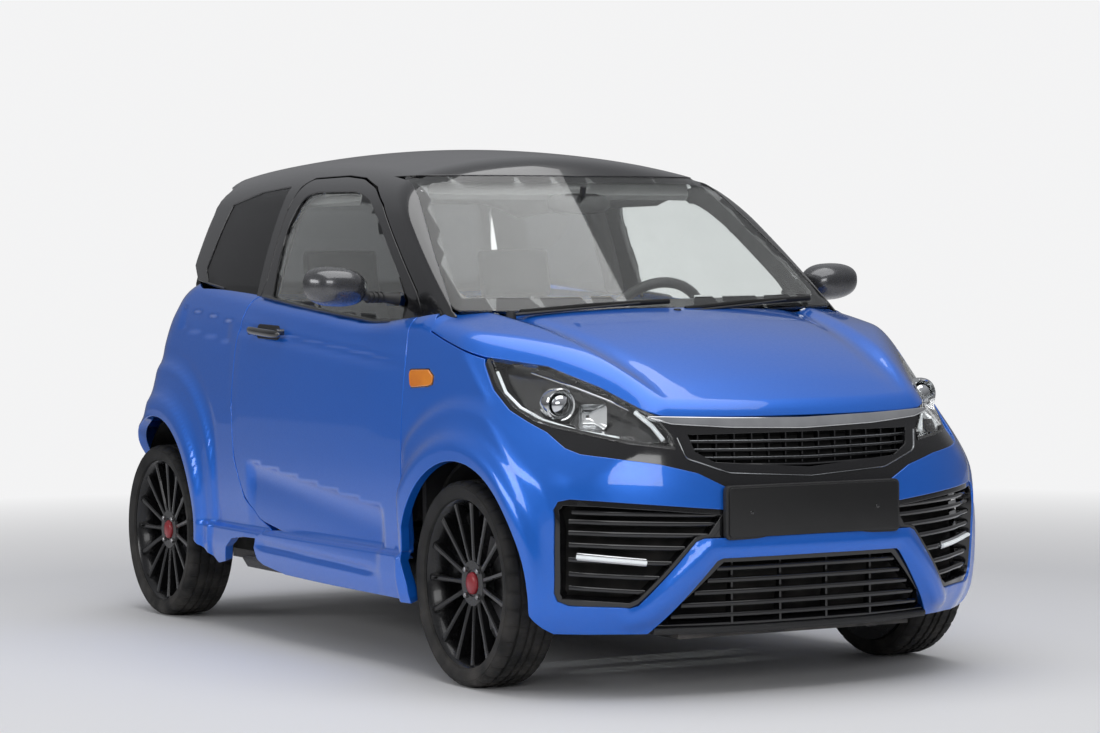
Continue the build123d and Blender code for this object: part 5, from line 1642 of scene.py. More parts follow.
@dataclass
class Headlamp:
    """One lamp: bucket, projector, square reflector, light pipe and clear lens."""

    sign: float

    def at(self, place: Point3) -> Point3:
        """A left-hand place on this lamp's side."""
        return (self.sign * place[0], place[1], place[2])

    def build(self) -> None:
        """Mesh the lamp."""
        word = side_word(self.sign)
        wrap = on_body(View.WRAP)
        lens = [(self.sign * u, v) for u, v in spot_run([*LENS_TOP, *LENS_FOOT], wrap)]
        Panel(f"lamp_bucket_{word}", on_body(View.WRAP, inset=0.046), shifted_out(lens, 0.006), LAMP_BLACK,
            "shell", step=0.016, depth=0.004, backs=("headlamps",)).build()
        Panel(f"lamp_lens_{word}", on_body(View.WRAP, inset=0.001), lens, LENS_CLEAR, "shell", step=0.014,
            roll=0.001, thin=0.0025).build()
        bright, black = Lump(), Lump()
        self.bowl(bright, (0.558, -1.15, 0.735), 0.039, 0.04)
        ring = [(0.036, 0.0), (0.0395, -0.003), (0.043, -0.001), (0.044, 0.01), (0.043, 0.034)]
        black.turned([(r, -1.18 + a) for r, a in ring], self.at((0.558, 0.0, 0.735)), 1, 48)
        self.square(bright, (0.512, -1.262, 0.706))
        bright.piece(f"lamp_reflectors_{word}", LAMP_SILVER, "shell")
        black.piece(f"lamp_ring_{word}", CHROME, "shell")
        eye = Lump()
        dome = [(0.0, -0.016), (0.01, -0.015), (0.019, -0.0115), (0.0255, -0.006), (0.029, 0.0),
            (0.029, 0.006)]
        eye.turned([(r, -1.176 + a) for r, a in dome], self.at((0.558, 0.0, 0.735)), 1, 40)
        eye.piece(f"lamp_eye_{word}", MIRROR_GLASS, "shell", smooth=80)
        trims = Lump()
        run = [self.at(p) for p in ((0.574, -1.058, 0.812), (0.52, -1.175, 0.779), (0.47, -1.28, 0.744),
            (0.446, -1.328, 0.722))]
        trims.tube(run, [0.004, 0.0065, 0.0065, 0.004], 10, 0.6)
        trims.piece(f"lamp_brow_{word}", CHROME, "shell")
        pipe = Lump()
        run = [self.at(p) for p in ((0.434, -1.338, 0.718), (0.408, -1.375, 0.685), (0.39, -1.4, 0.65))]
        pipe.tube(run, 0.007, 10, 0.8)
        run = [self.at(p) for p in ((0.634, -0.985, 0.815), (0.64, -1.04, 0.765), (0.63, -1.1, 0.728),
            (0.6, -1.165, 0.697), (0.55, -1.25, 0.672), (0.485, -1.345, 0.656))]
        pipe.tube(run, 0.0045, 8, 0.8)
        pipe.piece(f"lamp_pipe_{word}", LED_WHITE, "shell")

    def bowl(self, lump: Lump, centre: Point3, radius: float, deep: float) -> None:
        """A round reflector that faces forward."""
        x, y, z = self.at(centre)
        profile = [(radius * math.sin(a), y + deep * 0.4 - deep * (1 - math.cos(a)))
            for a in (math.pi / 2 * k / 10 for k in range(1, 11))]
        lump.turned([(0.0005, y + deep * 0.4), *profile], (x, 0.0, z), 1, 40)

    def square(self, lump: Lump, centre: Point3) -> None:
        """A stepped square reflector."""
        x, y, z = self.at(centre)
        rows = []
        for half, deep in ((0.034, 0.0), (0.031, 0.004), (0.024, 0.016), (0.015, 0.024), (0.004, 0.026)):
            ring = fillet([(x - half, z - half * 0.95), (x + half, z - half * 0.95),
                (x + half, z + half * 0.95), (x - half, z + half * 0.95)], half * 0.35)
            rows.append([(u, y + deep + (u - x) * 0.35 * self.sign, v) for u, v in ring])
        lump.grid(rows, closed=True)


@dataclass
class SmallFittings:
    """Repeaters, wipers, mirrors and handles."""

    mirror_at: Point3 = (0.802, -0.392, 1.036)
    handle_at: Point2 = (0.337, 0.902)

    def repeaters(self, sign: float) -> None:
        """The amber side lamp on a wing."""
        word = side_word(sign)
        outline = [(-0.588, 0.811), (-0.69, 0.8135), (-0.716, 0.798), (-0.714, 0.781), (-0.69, 0.7755),
            (-0.6, 0.77)]
        Panel(f"repeater_{word}", on_body(View.SIDE, sign, -0.0035), fillet(outline,
            [0.01, 0.01, 0.008, 0.008, 0.01, 0.012]), AMBER_LENS, "shell", step=0.008, roll=0.003,
            depth=0.006).build()
        Panel(f"repeater_seat_{word}", on_body(View.SIDE, sign, -0.0008), shifted_out(outline, 0.004),
            GLOSS_BLACK, "shell", step=0.012, depth=0.006).build()

    def wipers(self) -> None:
        """Two arms with their blades at the foot of the windscreen."""
        glass = on_cabin(View.FRONT, inset=-0.014)
        arms, rubber = Lump(), Lump()
        for pivot, tip in (((-0.47, 0.958), (-0.075, 0.985)), ((0.02, 0.958), (0.42, 0.988))):
            x, y, z = glass.at(*pivot)
            arms.turned([(0.0, z + 0.012), (0.009, z + 0.011), (0.013, z + 0.004), (0.014, z - 0.03)],
                (x, y, 0.0), 2, 24)
            run = glass.lay([pivot, tip], 0.04)
            arms.tube(run, list(np.linspace(0.0085, 0.0045, len(run))), 8, 0.55)
            blade = [(tip[0] - 0.36, tip[1] - 0.02), (tip[0] - 0.16, tip[1] - 0.006),
                (tip[0] + 0.1, tip[1] + 0.004)]
            rubber.tube(on_cabin(View.FRONT, inset=-0.009).lay(blade, 0.04), 0.006, 8, 1.2)
        arms.piece("wiper_arms", SATIN_BLACK, "shell", backs=("wipers",))
        rubber.piece("wiper_blades", RUBBER, "shell")

    def mirror(self, sign: float) -> None:
        """A door mirror on its ribbed arm."""
        word = side_word(sign)
        body = f"door_{word}"
        shell, glass, arm = Lump(), Lump(), Lump()
        cx, cy, cz = self.mirror_at
        count = 48
        rows = []
        for t in np.linspace(0.0, 1.0, 15):
            a = math.pi / 2 * t
            y = cy + 0.038 - 0.082 * math.sin(a)
            k = max(math.cos(a) ** 0.62, 0.02)
            ring = []
            for b in turns(count):
                c, s = math.cos(b), math.sin(b)
                ring.append((sign * (cx + 0.09 * k * signed_power(c, 0.78)), y,
                    cz + 0.054 * k * signed_power(s, 0.8) + 0.006 * c * k))
            rows.append(ring)
        rim = [(sign * (cx + (abs(x) - cx) * 0.95), cy + 0.041, cz + (z - cz) * 0.94) for x, _, z in rows[0]]
        well = [(sign * (cx + (abs(x) - cx) * 0.92), cy + 0.03, cz + (z - cz) * 0.91) for x, _, z in rows[0]]
        shell.grid([well, rim, *rows], closed=True)
        shell.faces.append(tuple(range(len(shell.points) - count, len(shell.points))))
        shell.piece(f"mirror_shell_{word}", GUNMETAL, body, smooth=50, backs=(f"mirror_{word}",))
        glass.grid([well, [(x, cy + 0.0305, z) for x, _, z in well]], closed=True)
        glass.faces.append(tuple(range(count, 2 * count)))
        glass.piece(f"mirror_face_{word}", MIRROR_GLASS, body)
        path = [(0.742, -0.392, 1.018), (0.716, -0.394, 1.008), (0.69, -0.397, 1.006), (0.662, -0.402, 1.004),
            (0.632, -0.408, 1.0)]
        arm.tube([(sign * x, y, z) for x, y, z in path], [0.02, 0.017, 0.0165, 0.019, 0.025], 20, 0.75)
        for k in range(4):
            x = 0.676 + 0.013 * k
            arm.tube([(sign * x, -0.3985 + 0.0012 * k, 1.0055), (sign * (x + 0.005), -0.3985 + 0.0012 * k,
                1.0057)], 0.02, 20, 0.78)
        arm.piece(f"mirror_arm_{word}", SATIN_BLACK, body, smooth=40)

    def handle(self, sign: float) -> None:
        """A pull handle with its recess."""
        word = side_word(sign)
        body = f"door_{word}"
        skin = on_body(View.SIDE, sign)
        bar = Lump()
        rows = []
        for s in np.linspace(-1, 1, 21):
            y = self.handle_at[0] + 0.121 * s
            z = self.handle_at[1] + 0.006 * s
            x = abs(skin.at(y, z)[0])
            lift = 0.03 - 0.014 * abs(s) ** 4
            end = math.sqrt(max(0.0, 1 - abs(s) ** 7)) * 0.92 + 0.08
            rows.append([(sign * (x + lift + 0.0065 * math.cos(a)), y, z + 0.0115 * end * math.sin(a))
                for a in turns(14)])
        bar.grid(rows, closed=True, ends=True)
        for y in (0.236, 0.438):
            z = self.handle_at[1]
            x = abs(skin.at(y, z)[0])
            bar.tube([(sign * (x - 0.004), y, z), (sign * (x + 0.022), y, z)], 0.0125, 14, 0.8)
        bar.piece(f"handle_{word}", BLACK_PAINT, body, smooth=50, backs=(f"door_handle_{word}",))
        cup = fillet([(0.256, 0.88), (0.42, 0.884), (0.42, 0.924), (0.256, 0.92)], 0.018)
        Panel(f"handle_cup_{word}", on_body(View.SIDE, sign, -0.0012), cup, SATIN_BLACK, body, step=0.012,
            roll=0.001, depth=0.003).build()

    def build(self) -> None:
        """Mesh every fitting."""
        self.wipers()
        for sign in (1.0, -1.0):
            self.repeaters(sign)
            self.mirror(sign)
            self.handle(sign)


# ------------------------------------------------------------------ wheels
@dataclass
class Wheel:
    """A fifteen-spoke wheel with its tyre."""

    word: str
    sign: float
    y: float
    spokes: int = 15

    def spot(self, out: float, r: float, a: float, w: float = 0.0) -> Point3:
        """A place on the wheel: out from the car's middle, by radius and angle, and across that radius."""
        return (self.sign * out, self.y + r * math.cos(a) - w * math.sin(a),
            WHEEL_Z + r * math.sin(a) + w * math.cos(a))

    def rim(self) -> None:
        """Barrel, spokes, hub, bolts, valve and centre cap."""
        lump, bolts, cap = Lump(), Lump(), Lump()
        sign, name = self.sign, self.word
        barrel = [(0.186, 0.556), (0.222, 0.556), (0.2245, 0.566), (0.21, 0.574), (0.198, 0.59),
            (0.196, 0.64), (0.205, 0.672), (0.212, 0.688), (0.218, 0.6945), (0.2235, 0.699), (0.2275, 0.6985),
            (0.2285, 0.695), (0.2225, 0.688), (0.212, 0.67), (0.202, 0.64), (0.202, 0.585), (0.217, 0.572)]
        centre = (0.0, self.y, WHEEL_Z)
        lump.turned([(r, sign * x) for r, x in barrel], centre, 0, 90)
        hub = [(0.0, 0.64), (0.06, 0.64), (0.064, 0.655), (0.0635, 0.668), (0.059, 0.6745), (0.035, 0.6745),
            (0.033, 0.6715), (0.0, 0.6715)]
        lump.turned([(r, sign * x) for r, x in hub], centre, 0, 60)
        for a in turns(self.spokes):
            rows = []
            for r, half, front, deep in ((0.05, 0.0085, 0.6725, 0.02), (0.07, 0.007, 0.6765, 0.021),
                    (0.11, 0.0062, 0.6805, 0.022), (0.16, 0.0068, 0.685, 0.022), (0.196, 0.0082, 0.689, 0.02),
                    (0.211, 0.01, 0.6905, 0.016)):
                rows.append([self.spot(front + out, r, a, across * half) for across,
                    out in ((-1, -deep), (-1, -0.004), (-0.55, -0.0008), (0.55, -0.0008), (1, -0.004),
                    (1, -deep))])
            lump.grid(rows, closed=True, ends=True)
        lump.piece(f"alloy_{name}", RIM_BLACK, f"wheel_{name}", smooth=32, backs=(f"rim_{name}",))
        for k in range(4):
            a = math.pi / 4 + math.pi / 2 * k
            bolts.turned([(r, sign * x) for r, x in ((0.0, 0.682), (0.0045, 0.682), (0.0078, 0.6795),
                (0.008, 0.672), (0.0105, 0.672))], self.spot(0.0, 0.0475, a), 0, 6)
        bolts.piece(f"bolts_{name}", STEEL, f"wheel_{name}", smooth=20)
        dome = [(0.0, 0.684), (0.012, 0.6835), (0.022, 0.6815), (0.0275, 0.6785), (0.029, 0.6745),
            (0.029, 0.668)]
        cap.turned([(r, sign * x) for r, x in dome], centre, 0, 48)
        cap.piece(f"cap_{name}", RED_CAP, f"wheel_{name}", smooth=50)
        valve = Lump()
        valve.tube([(sign * 0.676, self.y + 0.192, WHEEL_Z), (sign * 0.694, self.y + 0.184, WHEEL_Z)], 0.0035,
            10)
        valve.piece(f"valve_{name}", RUBBER, f"wheel_{name}")

    def tyre(self) -> None:
        """Low tyre with grooves, shoulder blocks and wall ribs."""
        profile = [(0.218, -0.062), (0.221, -0.068), (0.229, -0.0715), (0.24, -0.0738), (0.25, -0.0742),
            (0.251, -0.0728), (0.2535, -0.0728), (0.2545, -0.0736), (0.26, -0.07), (0.2645, -0.064),
            (0.2665, -0.056), (0.2672, -0.044), (0.261, -0.0425), (0.261, -0.0365), (0.2676, -0.035),
            (0.2679, -0.015), (0.2615, -0.0135), (0.2615, -0.007), (0.268, -0.0055)]
        wall = [*profile, *((r, -a) for r, a in reversed(profile))]
        rows = []
        for r, across in wall:
            row = []
            for k, a in enumerate(turns(216)):
                cut = 0.0045 if (k % 6 == 0 and abs(across) > 0.043 and r > 0.2595) else 0.0
                fine = 0.003 if (k % 4 == 0 and abs(across) < 0.036 and r > 0.267) else 0.0
                radius = r - cut - fine
                row.append((self.sign * TYRE_MIDDLE_X + across, self.y + radius * math.cos(a),
                    WHEEL_Z + radius * math.sin(a)))
            rows.append(row)
        lump = Lump()
        lump.grid(rows, closed=True)
        lump.piece(f"tyre_tread_{self.word}", RUBBER, f"wheel_{self.word}", smooth=28,
            backs=(f"tyre_{self.word}",))

    def build(self) -> None:
        """Mesh the wheel."""
        self.rim()
        self.tyre()


# ------------------------------------------------------------------ inside the cabin
@dataclass
class Seat:
    """A bucket seat of crowned pads on a shell."""

    sign: float
    x: float = 0.3
    seam_width: float = 0.045
    seam_depth: float = 0.006

    def pad(self, name: str, centre: Point3, size: Point3, tilt: float, finish: Finish, crown: float = 0.35,
            grooves: int = 0) -> None:
        """One stuffed pad, its sides pulled in between the corners.

        Args:
            name: Name of the pad.
            centre: Its middle, left-hand side.
            size: Width, depth and thickness.
            tilt: Lean about X in degrees.
            finish: Its cover.
            crown: Share of the thickness that the crown adds.
            grooves: Sewn channels across it.
        """
        lump = Lump()
        count = 44
        wide, deep, thick = (s / 2 for s in size)
        lean_cos, lean_sin = math.cos(math.radians(tilt)), math.sin(math.radians(tilt))
        rows = []
        for i in range(count + 1):
            row = []
            v = -1 + 2 * i / count
            end = max(0.0, 1 - abs(v) ** 9) ** 0.5
            groove = sum(bell((v - g) / self.seam_width) for g in np.linspace(-0.6, 0.6, grooves))
            for a in turns(2 * count):
                u, w = signed_power(math.cos(a), 0.42), signed_power(math.sin(a), 0.6)
                pull = 1 - 0.03 * (1 - u * u) - 0.012 * (1 - v * v)
                crowned = w * thick * end * (1 + crown * (1 - u * u) * (1 - v * v))
                z = crowned - self.seam_depth * groove * max(w, 0) * (1 - u ** 6)
                y = v * deep * (0.985 + 0.015 * pull)
                x = self.sign * (centre[0] + u * wide * pull * (0.93 + 0.07 * end))
                row.append((x, centre[1] + y * lean_cos - z * lean_sin, centre[2] + y * lean_sin + z
                    * lean_cos))
            rows.append(row)
        lump.grid(rows, closed=True, ends=True)
        piece = lump.piece(f"{name}_{side_word(self.sign)}", finish, "shell", smooth=60, backs=("seats",))

    def build(self) -> None:
        """Mesh the seat."""
        word = side_word(self.sign)
        self.pad("seat_squab", (self.x, 0.275, 0.418), (0.3, 0.47, 0.105), 5.0, SEAT_CLOTH, grooves=3)
        self.pad("seat_back", (self.x, 0.585, 0.72), (0.29, 0.54, 0.095), 78.0, SEAT_CLOTH, grooves=4)
        for name, shift in (("inner", -0.178), ("outer", 0.178)):
            self.pad(f"squab_bolster_{name}", (self.x + shift, 0.275, 0.432), (0.09, 0.47, 0.125), 5.0,
                BOLSTER_HIDE)
            self.pad(f"back_bolster_{name}", (self.x + shift, 0.575, 0.715), (0.085, 0.52, 0.125), 78.0,
                BOLSTER_HIDE)
        self.pad("head_rest", (self.x, 0.655, 1.065), (0.235, 0.15, 0.085), 80.0, BOLSTER_HIDE)
        frame, shell = Lump(), Lump()
        for x in (self.x - 0.055, self.x + 0.055):
            frame.tube([(self.sign * x, 0.636, 0.96), (self.sign * x, 0.652, 1.045)], 0.0065, 12)
        for x in (self.x - 0.18, self.x + 0.18):
            frame.block((self.sign * x - 0.017, 0.06, 0.225), (self.sign * x + 0.017, 0.5, 0.25))
            frame.block((self.sign * x - 0.008, 0.09, 0.25), (self.sign * x + 0.008, 0.46, 0.372))
        frame.piece(f"seat_frame_{word}", STEEL, "shell", bevel=0.002)
        rows = []
        for y, z, half in ((0.05, 0.345, 0.215), (0.3, 0.36, 0.222), (0.505, 0.385, 0.222),
                (0.575, 0.45, 0.222), (0.64, 0.72, 0.218), (0.69, 0.985, 0.165)):
            rows.append([(self.sign * (self.x + half * math.cos(a)), y + 0.012 * math.sin(a),
                z - 0.012 * math.sin(a)) for a in turns(24)])
        shell.grid(rows, closed=True, ends=True)
        shell.piece(f"seat_shell_{word}", BLACK_TRIM, "shell", smooth=45)


def even(ring: Sequence[Point2], count: int) -> list[Point2]:
    """A closed outline given by a number of evenly spaced points."""
    loop = np.array([*ring, ring[0]])
    along = np.concatenate([[0.0], np.cumsum(np.linalg.norm(np.diff(loop, axis=0), axis=1))])
    spots = np.linspace(0.0, along[-1], count, endpoint=False)
    return list(zip(np.interp(spots, along, loop[:, 0]).tolist(), np.interp(spots, along,
        loop[:, 1]).tolist()))


@dataclass
class Interior:
    """Dashboard, steering wheel, trims and headliner."""

    column: Point3 = (0.3, -0.19, 0.88)
    rake: float = math.radians(25.0)
    wheel_r: float = 0.172
    grip_r: float = 0.0155

    def dashboard(self) -> None:
        """A soft-edged dashboard with its binnacle."""
        lump = Lump()
        rows = []
        for x in np.linspace(-0.59, 0.59, 61):
            hood = 0.045 * bell((x - 0.3) / 0.17)
            crown = -0.025 * (x / 0.59) ** 4
            middle = 0.018 * bell(x / 0.16)
            profile = fillet([(-0.56, 0.66), (-0.56, 0.932 + crown), (-0.42, 0.918 + hood + crown),
                (-0.338 - 0.02 * crown, 0.88 + hood + crown), (-0.345 + middle, 0.8), (-0.368, 0.7),
                (-0.425, 0.64)], [0.01, 0.03, 0.05, 0.03, 0.05, 0.05, 0.02])
            rows.append([(x, y, z) for y, z in even(profile, 56)])
        lump.grid(rows, closed=True, ends=True)
        lump.piece("dashboard_skin", DASH_TRIM, "shell", smooth=50, backs=("dashboard",))

    def dials(self) -> None:
        """The driver's dial, the screen and four round vents."""
        dial, screen, vents = Lump(), Lump(), Lump()
        dial.turned([(0.0, -0.336), (0.045, -0.336), (0.052, -0.33), (0.056, -0.336), (0.056, -0.36)],
            (0.3, 0.0, 0.868), 1, 48)
        dial.piece("dial_hood", GLOSS_BLACK, "shell")
        screen.slab([(x, -0.326, z) for x, z in fillet(trapezoid(0.095, 0.77, 0.095, 0.875), 0.008)],
            (0, -0.03, 0))
        screen.piece("console_screen", GLOSS_BLACK, "shell", bevel=0.002)
        for x in (-0.52, -0.155, 0.155, 0.52):
            vents.turned([(0.0, -0.336), (0.026, -0.336), (0.03, -0.326), (0.034, -0.33), (0.036, -0.365)],
                (x, 0.0, 0.832), 1, 32)
        vents.piece("air_vents", SATIN_BLACK, "shell")

    def console(self) -> None:
        """The centre console with its drive lever."""
        tunnel = Lump()
        rows = []
        for y, half, top in ((-0.43, 0.09, 0.69), (-0.34, 0.085, 0.56), (-0.2, 0.08, 0.42), (0.1, 0.075, 0.4),
                (0.42, 0.075, 0.42), (0.48, 0.07, 0.4)):
            ring = fillet(trapezoid(half, 0.235, half, top), [0.005, 0.005, 0.03, 0.03])
            rows.append([(x, y, z) for x, z in even(ring, 40)])
        tunnel.grid(rows, closed=True, ends=True)
        tunnel.piece("centre_console", DASH_TRIM, "shell", smooth=45)
        lever = Lump()
        lever.tube([(0.0, -0.15, 0.41), (0.0, -0.165, 0.47), (0.0, -0.175, 0.505)], [0.01, 0.009, 0.018], 16)
        lever.piece("drive_lever", GLOSS_BLACK, "shell")

    def spot(self, u: float, v: float, w: float) -> Point3:
        """A place on the steering wheel: across, up its face and out of it."""
        x0, y0, z0 = self.column
        c, s = math.cos(self.rake), math.sin(self.rake)
        return (x0 + u, y0 - v * s + w * c, z0 + v * c + w * s)

    def steering(self) -> None:
        """Rim, hub pad and three spokes."""
        rim, spokes = Lump(), Lump()
        rows = []
        for a in turns(96):
            thumbs = 0.0018 * bell(math.sin(a) / 0.25) if abs(math.cos(a)) > 0.5 else 0.0
            grip = self.grip_r + thumbs
            flat = 0.965 if math.sin(a) < -0.86 else 1.0
            ring = []
            for b in turns(14):
                r = self.wheel_r + grip * math.cos(b)
                ring.append(self.spot(r * math.cos(a), r * math.sin(a) * flat, grip * 0.95 * math.sin(b)))
            rows.append(ring)
        rim.grid([*rows, rows[0]], closed=True)
        rim.piece("steering_rim", BOLSTER_HIDE, "steering_wheel", smooth=60, backs=("steering_wheel",))
        pad = [(0.0, 0.022), (0.03, 0.021), (0.048, 0.015), (0.056, 0.004), (0.056, -0.012), (0.04, -0.022)]
        rows = [[self.spot(1.12 * r * math.cos(a), 0.92 * r * math.sin(a), w) for a in turns(40)] for r,
            w in pad]
        spokes.grid(rows, closed=True)
        for angle in (180.0, 0.0, 270.0):
            a = math.radians(angle)
            rows = []
            for r, half, w in ((0.045, 0.02, 0.004), (0.1, 0.0135, 0.001), (0.165, 0.016, 0.0)):
                rows.append([self.spot(r * math.cos(a) - across * half * math.sin(a),
                    r * math.sin(a) + across * half * math.cos(a), w + out) for across,
                    out in ((-1, 0.005), (-0.7, 0.008), (0.7, 0.008), (1, 0.005), (1, -0.005), (-1, -0.005))])
            spokes.grid(rows, closed=True, ends=True)
        spokes.piece("steering_spokes", DASH_TRIM, "steering_wheel", smooth=40)

    def headliner(self) -> None:
        """The cloth under the roof."""
        fan = cabin_fan(0.04)
        half = trace([(0.0, 1.325), (0.43, 1.325)], on_cabin(View.FRONT), fan)
        half += trace([(0.1, 1.315), (0.7, 1.31), (0.98, 1.29)], on_cabin(View.SIDE), fan)
        half += trace([(0.4, 1.335), (0.0, 1.335)], on_cabin(View.BACK), fan)
        outline = half + mirror_run(half)[1:-1]
        Panel("headliner", fan, outline, HEADLINER, "shell", step=0.04, roll=0.002, thin=0.004).build()

    def cards(self) -> None:
        """Door cards with their arm rests, quarter cards and pillar trims."""
        for sign in (1.0, -1.0):
            word = side_word(sign)
            card = [(-0.5, 0.4), (-0.5, 0.878), (-0.3, 0.871), (0.15, 0.905), (0.455, 0.928), (0.44, 0.6),
                (0.38, 0.4)]
            Panel(f"door_card_{word}", on_body(View.SIDE, sign, 0.05), fillet(card, 0.03), DASH_TRIM,
                f"door_{word}", step=0.04, roll=0.004, thin=0.006).build()
            rest = Lump()
            x = sign * (abs(on_body(View.SIDE, sign, 0.06).at(0.1, 0.74)[0]) - 0.012)
            rest.tube([(x, -0.28, 0.735), (x, -0.05, 0.742), (x, 0.26, 0.752), (x, 0.36, 0.76)],
                [0.014, 0.024, 0.026, 0.016], 16, 0.8)
            rest.piece(f"arm_rest_{word}", BOLSTER_HIDE, f"door_{word}", smooth=50)
            back = [(0.54, 0.42), (0.54, 0.932), (0.8, 0.945), (1.08, 0.9), (1.08, 0.7), (0.82, 0.64),
                (0.7, 0.42)]
            Panel(f"quarter_card_{word}", on_body(View.SIDE, sign, 0.048), fillet(back, 0.03), DASH_TRIM,
                "shell", step=0.04, roll=0.004, thin=0.006).build()
            Panel(f"pillar_trim_{word}", on_cabin(View.SIDE, sign, 0.036),
                fillet([(0.485, 1.005), (0.56, 1.01), (0.56, 1.315), (0.47, 1.325)], 0.01), HEADLINER,
                "shell", step=0.04, roll=0.002, thin=0.004).build()

    def shelf_and_mirror(self) -> None:
        """The luggage shelf and the mirror on the windscreen."""
        shelf = Lump()
        shelf.slab([(-0.5, 0.8, 0.925), (0.5, 0.8, 0.925), (0.48, 1.13, 0.94), (-0.48, 1.13, 0.94)],
            (0, 0, 0.012))
        shelf.piece("luggage_shelf", CARPET, "shell", bevel=0.003)
        glass = Lump()
        y, z = -0.29, 1.262
        rows = []
        for t, k in ((0.0, 0.93), (0.004, 1.0), (-0.014, 0.97), (-0.024, 0.8), (-0.028, 0.02)):
            rows.append([(0.098 * k * signed_power(math.cos(a), 0.6), y + t,
                z + 0.03 * k * signed_power(math.sin(a), 0.7)) for a in turns(36)])
        glass.grid(rows, closed=True)
        glass.tube([(0.0, y - 0.02, z + 0.01), (0.0, y - 0.03, z + 0.05)], 0.009, 12)
        glass.piece("inside_mirror", SATIN_BLACK, "shell", smooth=50)

    def build(self) -> None:
        """Mesh everything inside."""
        for step in (self.dashboard, self.dials, self.console, self.steering, self.headliner, self.cards,
                self.shelf_and_mirror):
            step()


# ------------------------------------------------------------------ running gear
@dataclass
class RunningGear:
    """Finishes for the plain CAD pieces that stay in view under the skin."""

    finishes: dict[str, Finish] = field(default_factory=lambda: {"chassis_frame": CHASSIS_BLACK,
        "floor_pan": CARPET, "engine_block": CAST_ALLOY, "exhaust": STEEL, "front_suspension": CHASSIS_BLACK,
        "rear_axle": CAST_ALLOY, "knuckle_left": CAST_ALLOY, "knuckle_right": CAST_ALLOY,
        "arch_liners": DARK_WELL})

    def build(self) -> None:
        """Give each node its finish and shade its edges."""
        for name, finish in self.finishes.items():
            node = frame["nodes"][name]
            node.data.materials.clear()
            node.data.materials.append(finish.material())
            node.data.shade_smooth()
            node.data.set_sharp_from_angle(angle=math.radians(30))

    def wells(self) -> None:
        """Dark linings behind the wheel openings."""
        for sign in (1.0, -1.0):
            word = side_word(sign)
            for end, (y, z, r) in (("front", FRONT_ARCH), ("rear", REAR_ARCH)):
                lump = Lump()
                rows = []
                for x in (0.47, 0.54, 0.6, 0.636):
                    run = arc((y, z), r + 0.012 + (0.012 if x < 0.6 else 0.0), 8.0, 172.0, 30)
                    rows.append([(sign * x, a, b) for a, b in run])
                lump.grid(rows)
                wall = 0.392 if end == "front" else 0.452
                edge = [(sign * wall, a, b) for a, b in arc((y, z), r + 0.024, 0.0, 180.0, 36)]
                lump.grid([[(sign * wall, a, 0.2) for _, a, _ in edge], edge,
                    [(sign * 0.475, a, b) for _, a, b in edge]])
                lining = lump.piece(f"arch_lining_{end}_{word}", DARK_WELL, "shell", smooth=50)
                lining.modifiers.new("thickness", "SOLIDIFY").thickness = 0.003


def assemblies() -> list[Callable[[], object]]:
    """The build steps in order."""
    left, right = BodySide(1.0), BodySide(-1.0)
    roof, gear, inner = RoofFrame(), RunningGear(), Interior()
    wheels = [Wheel(f"{end}_{word}", sign, y).build for end, y in (("front", FRONT_AXLE_Y),
        ("rear", REAR_AXLE_Y)) for word, sign in (("left", 1.0), ("right", -1.0))]
    return [Bonnet().build, FrontClip().build, left.door, right.door, left.quarter, right.quarter, left.sill,
        right.sill, roof.build, roof.cowl, Glazing().build, Tail().build, Nose().build, Headlamp(1.0).build,
        Headlamp(-1.0).build, SmallFittings().build, *wheels, Seat(1.0).build, Seat(-1.0).build, inner.build,
        gear.build, gear.wells]


# ------------------------------------------------------------------ studio
FLOOR_R = 30
BACKDROP = (0.9, 0.9, 0.905, 1.0)


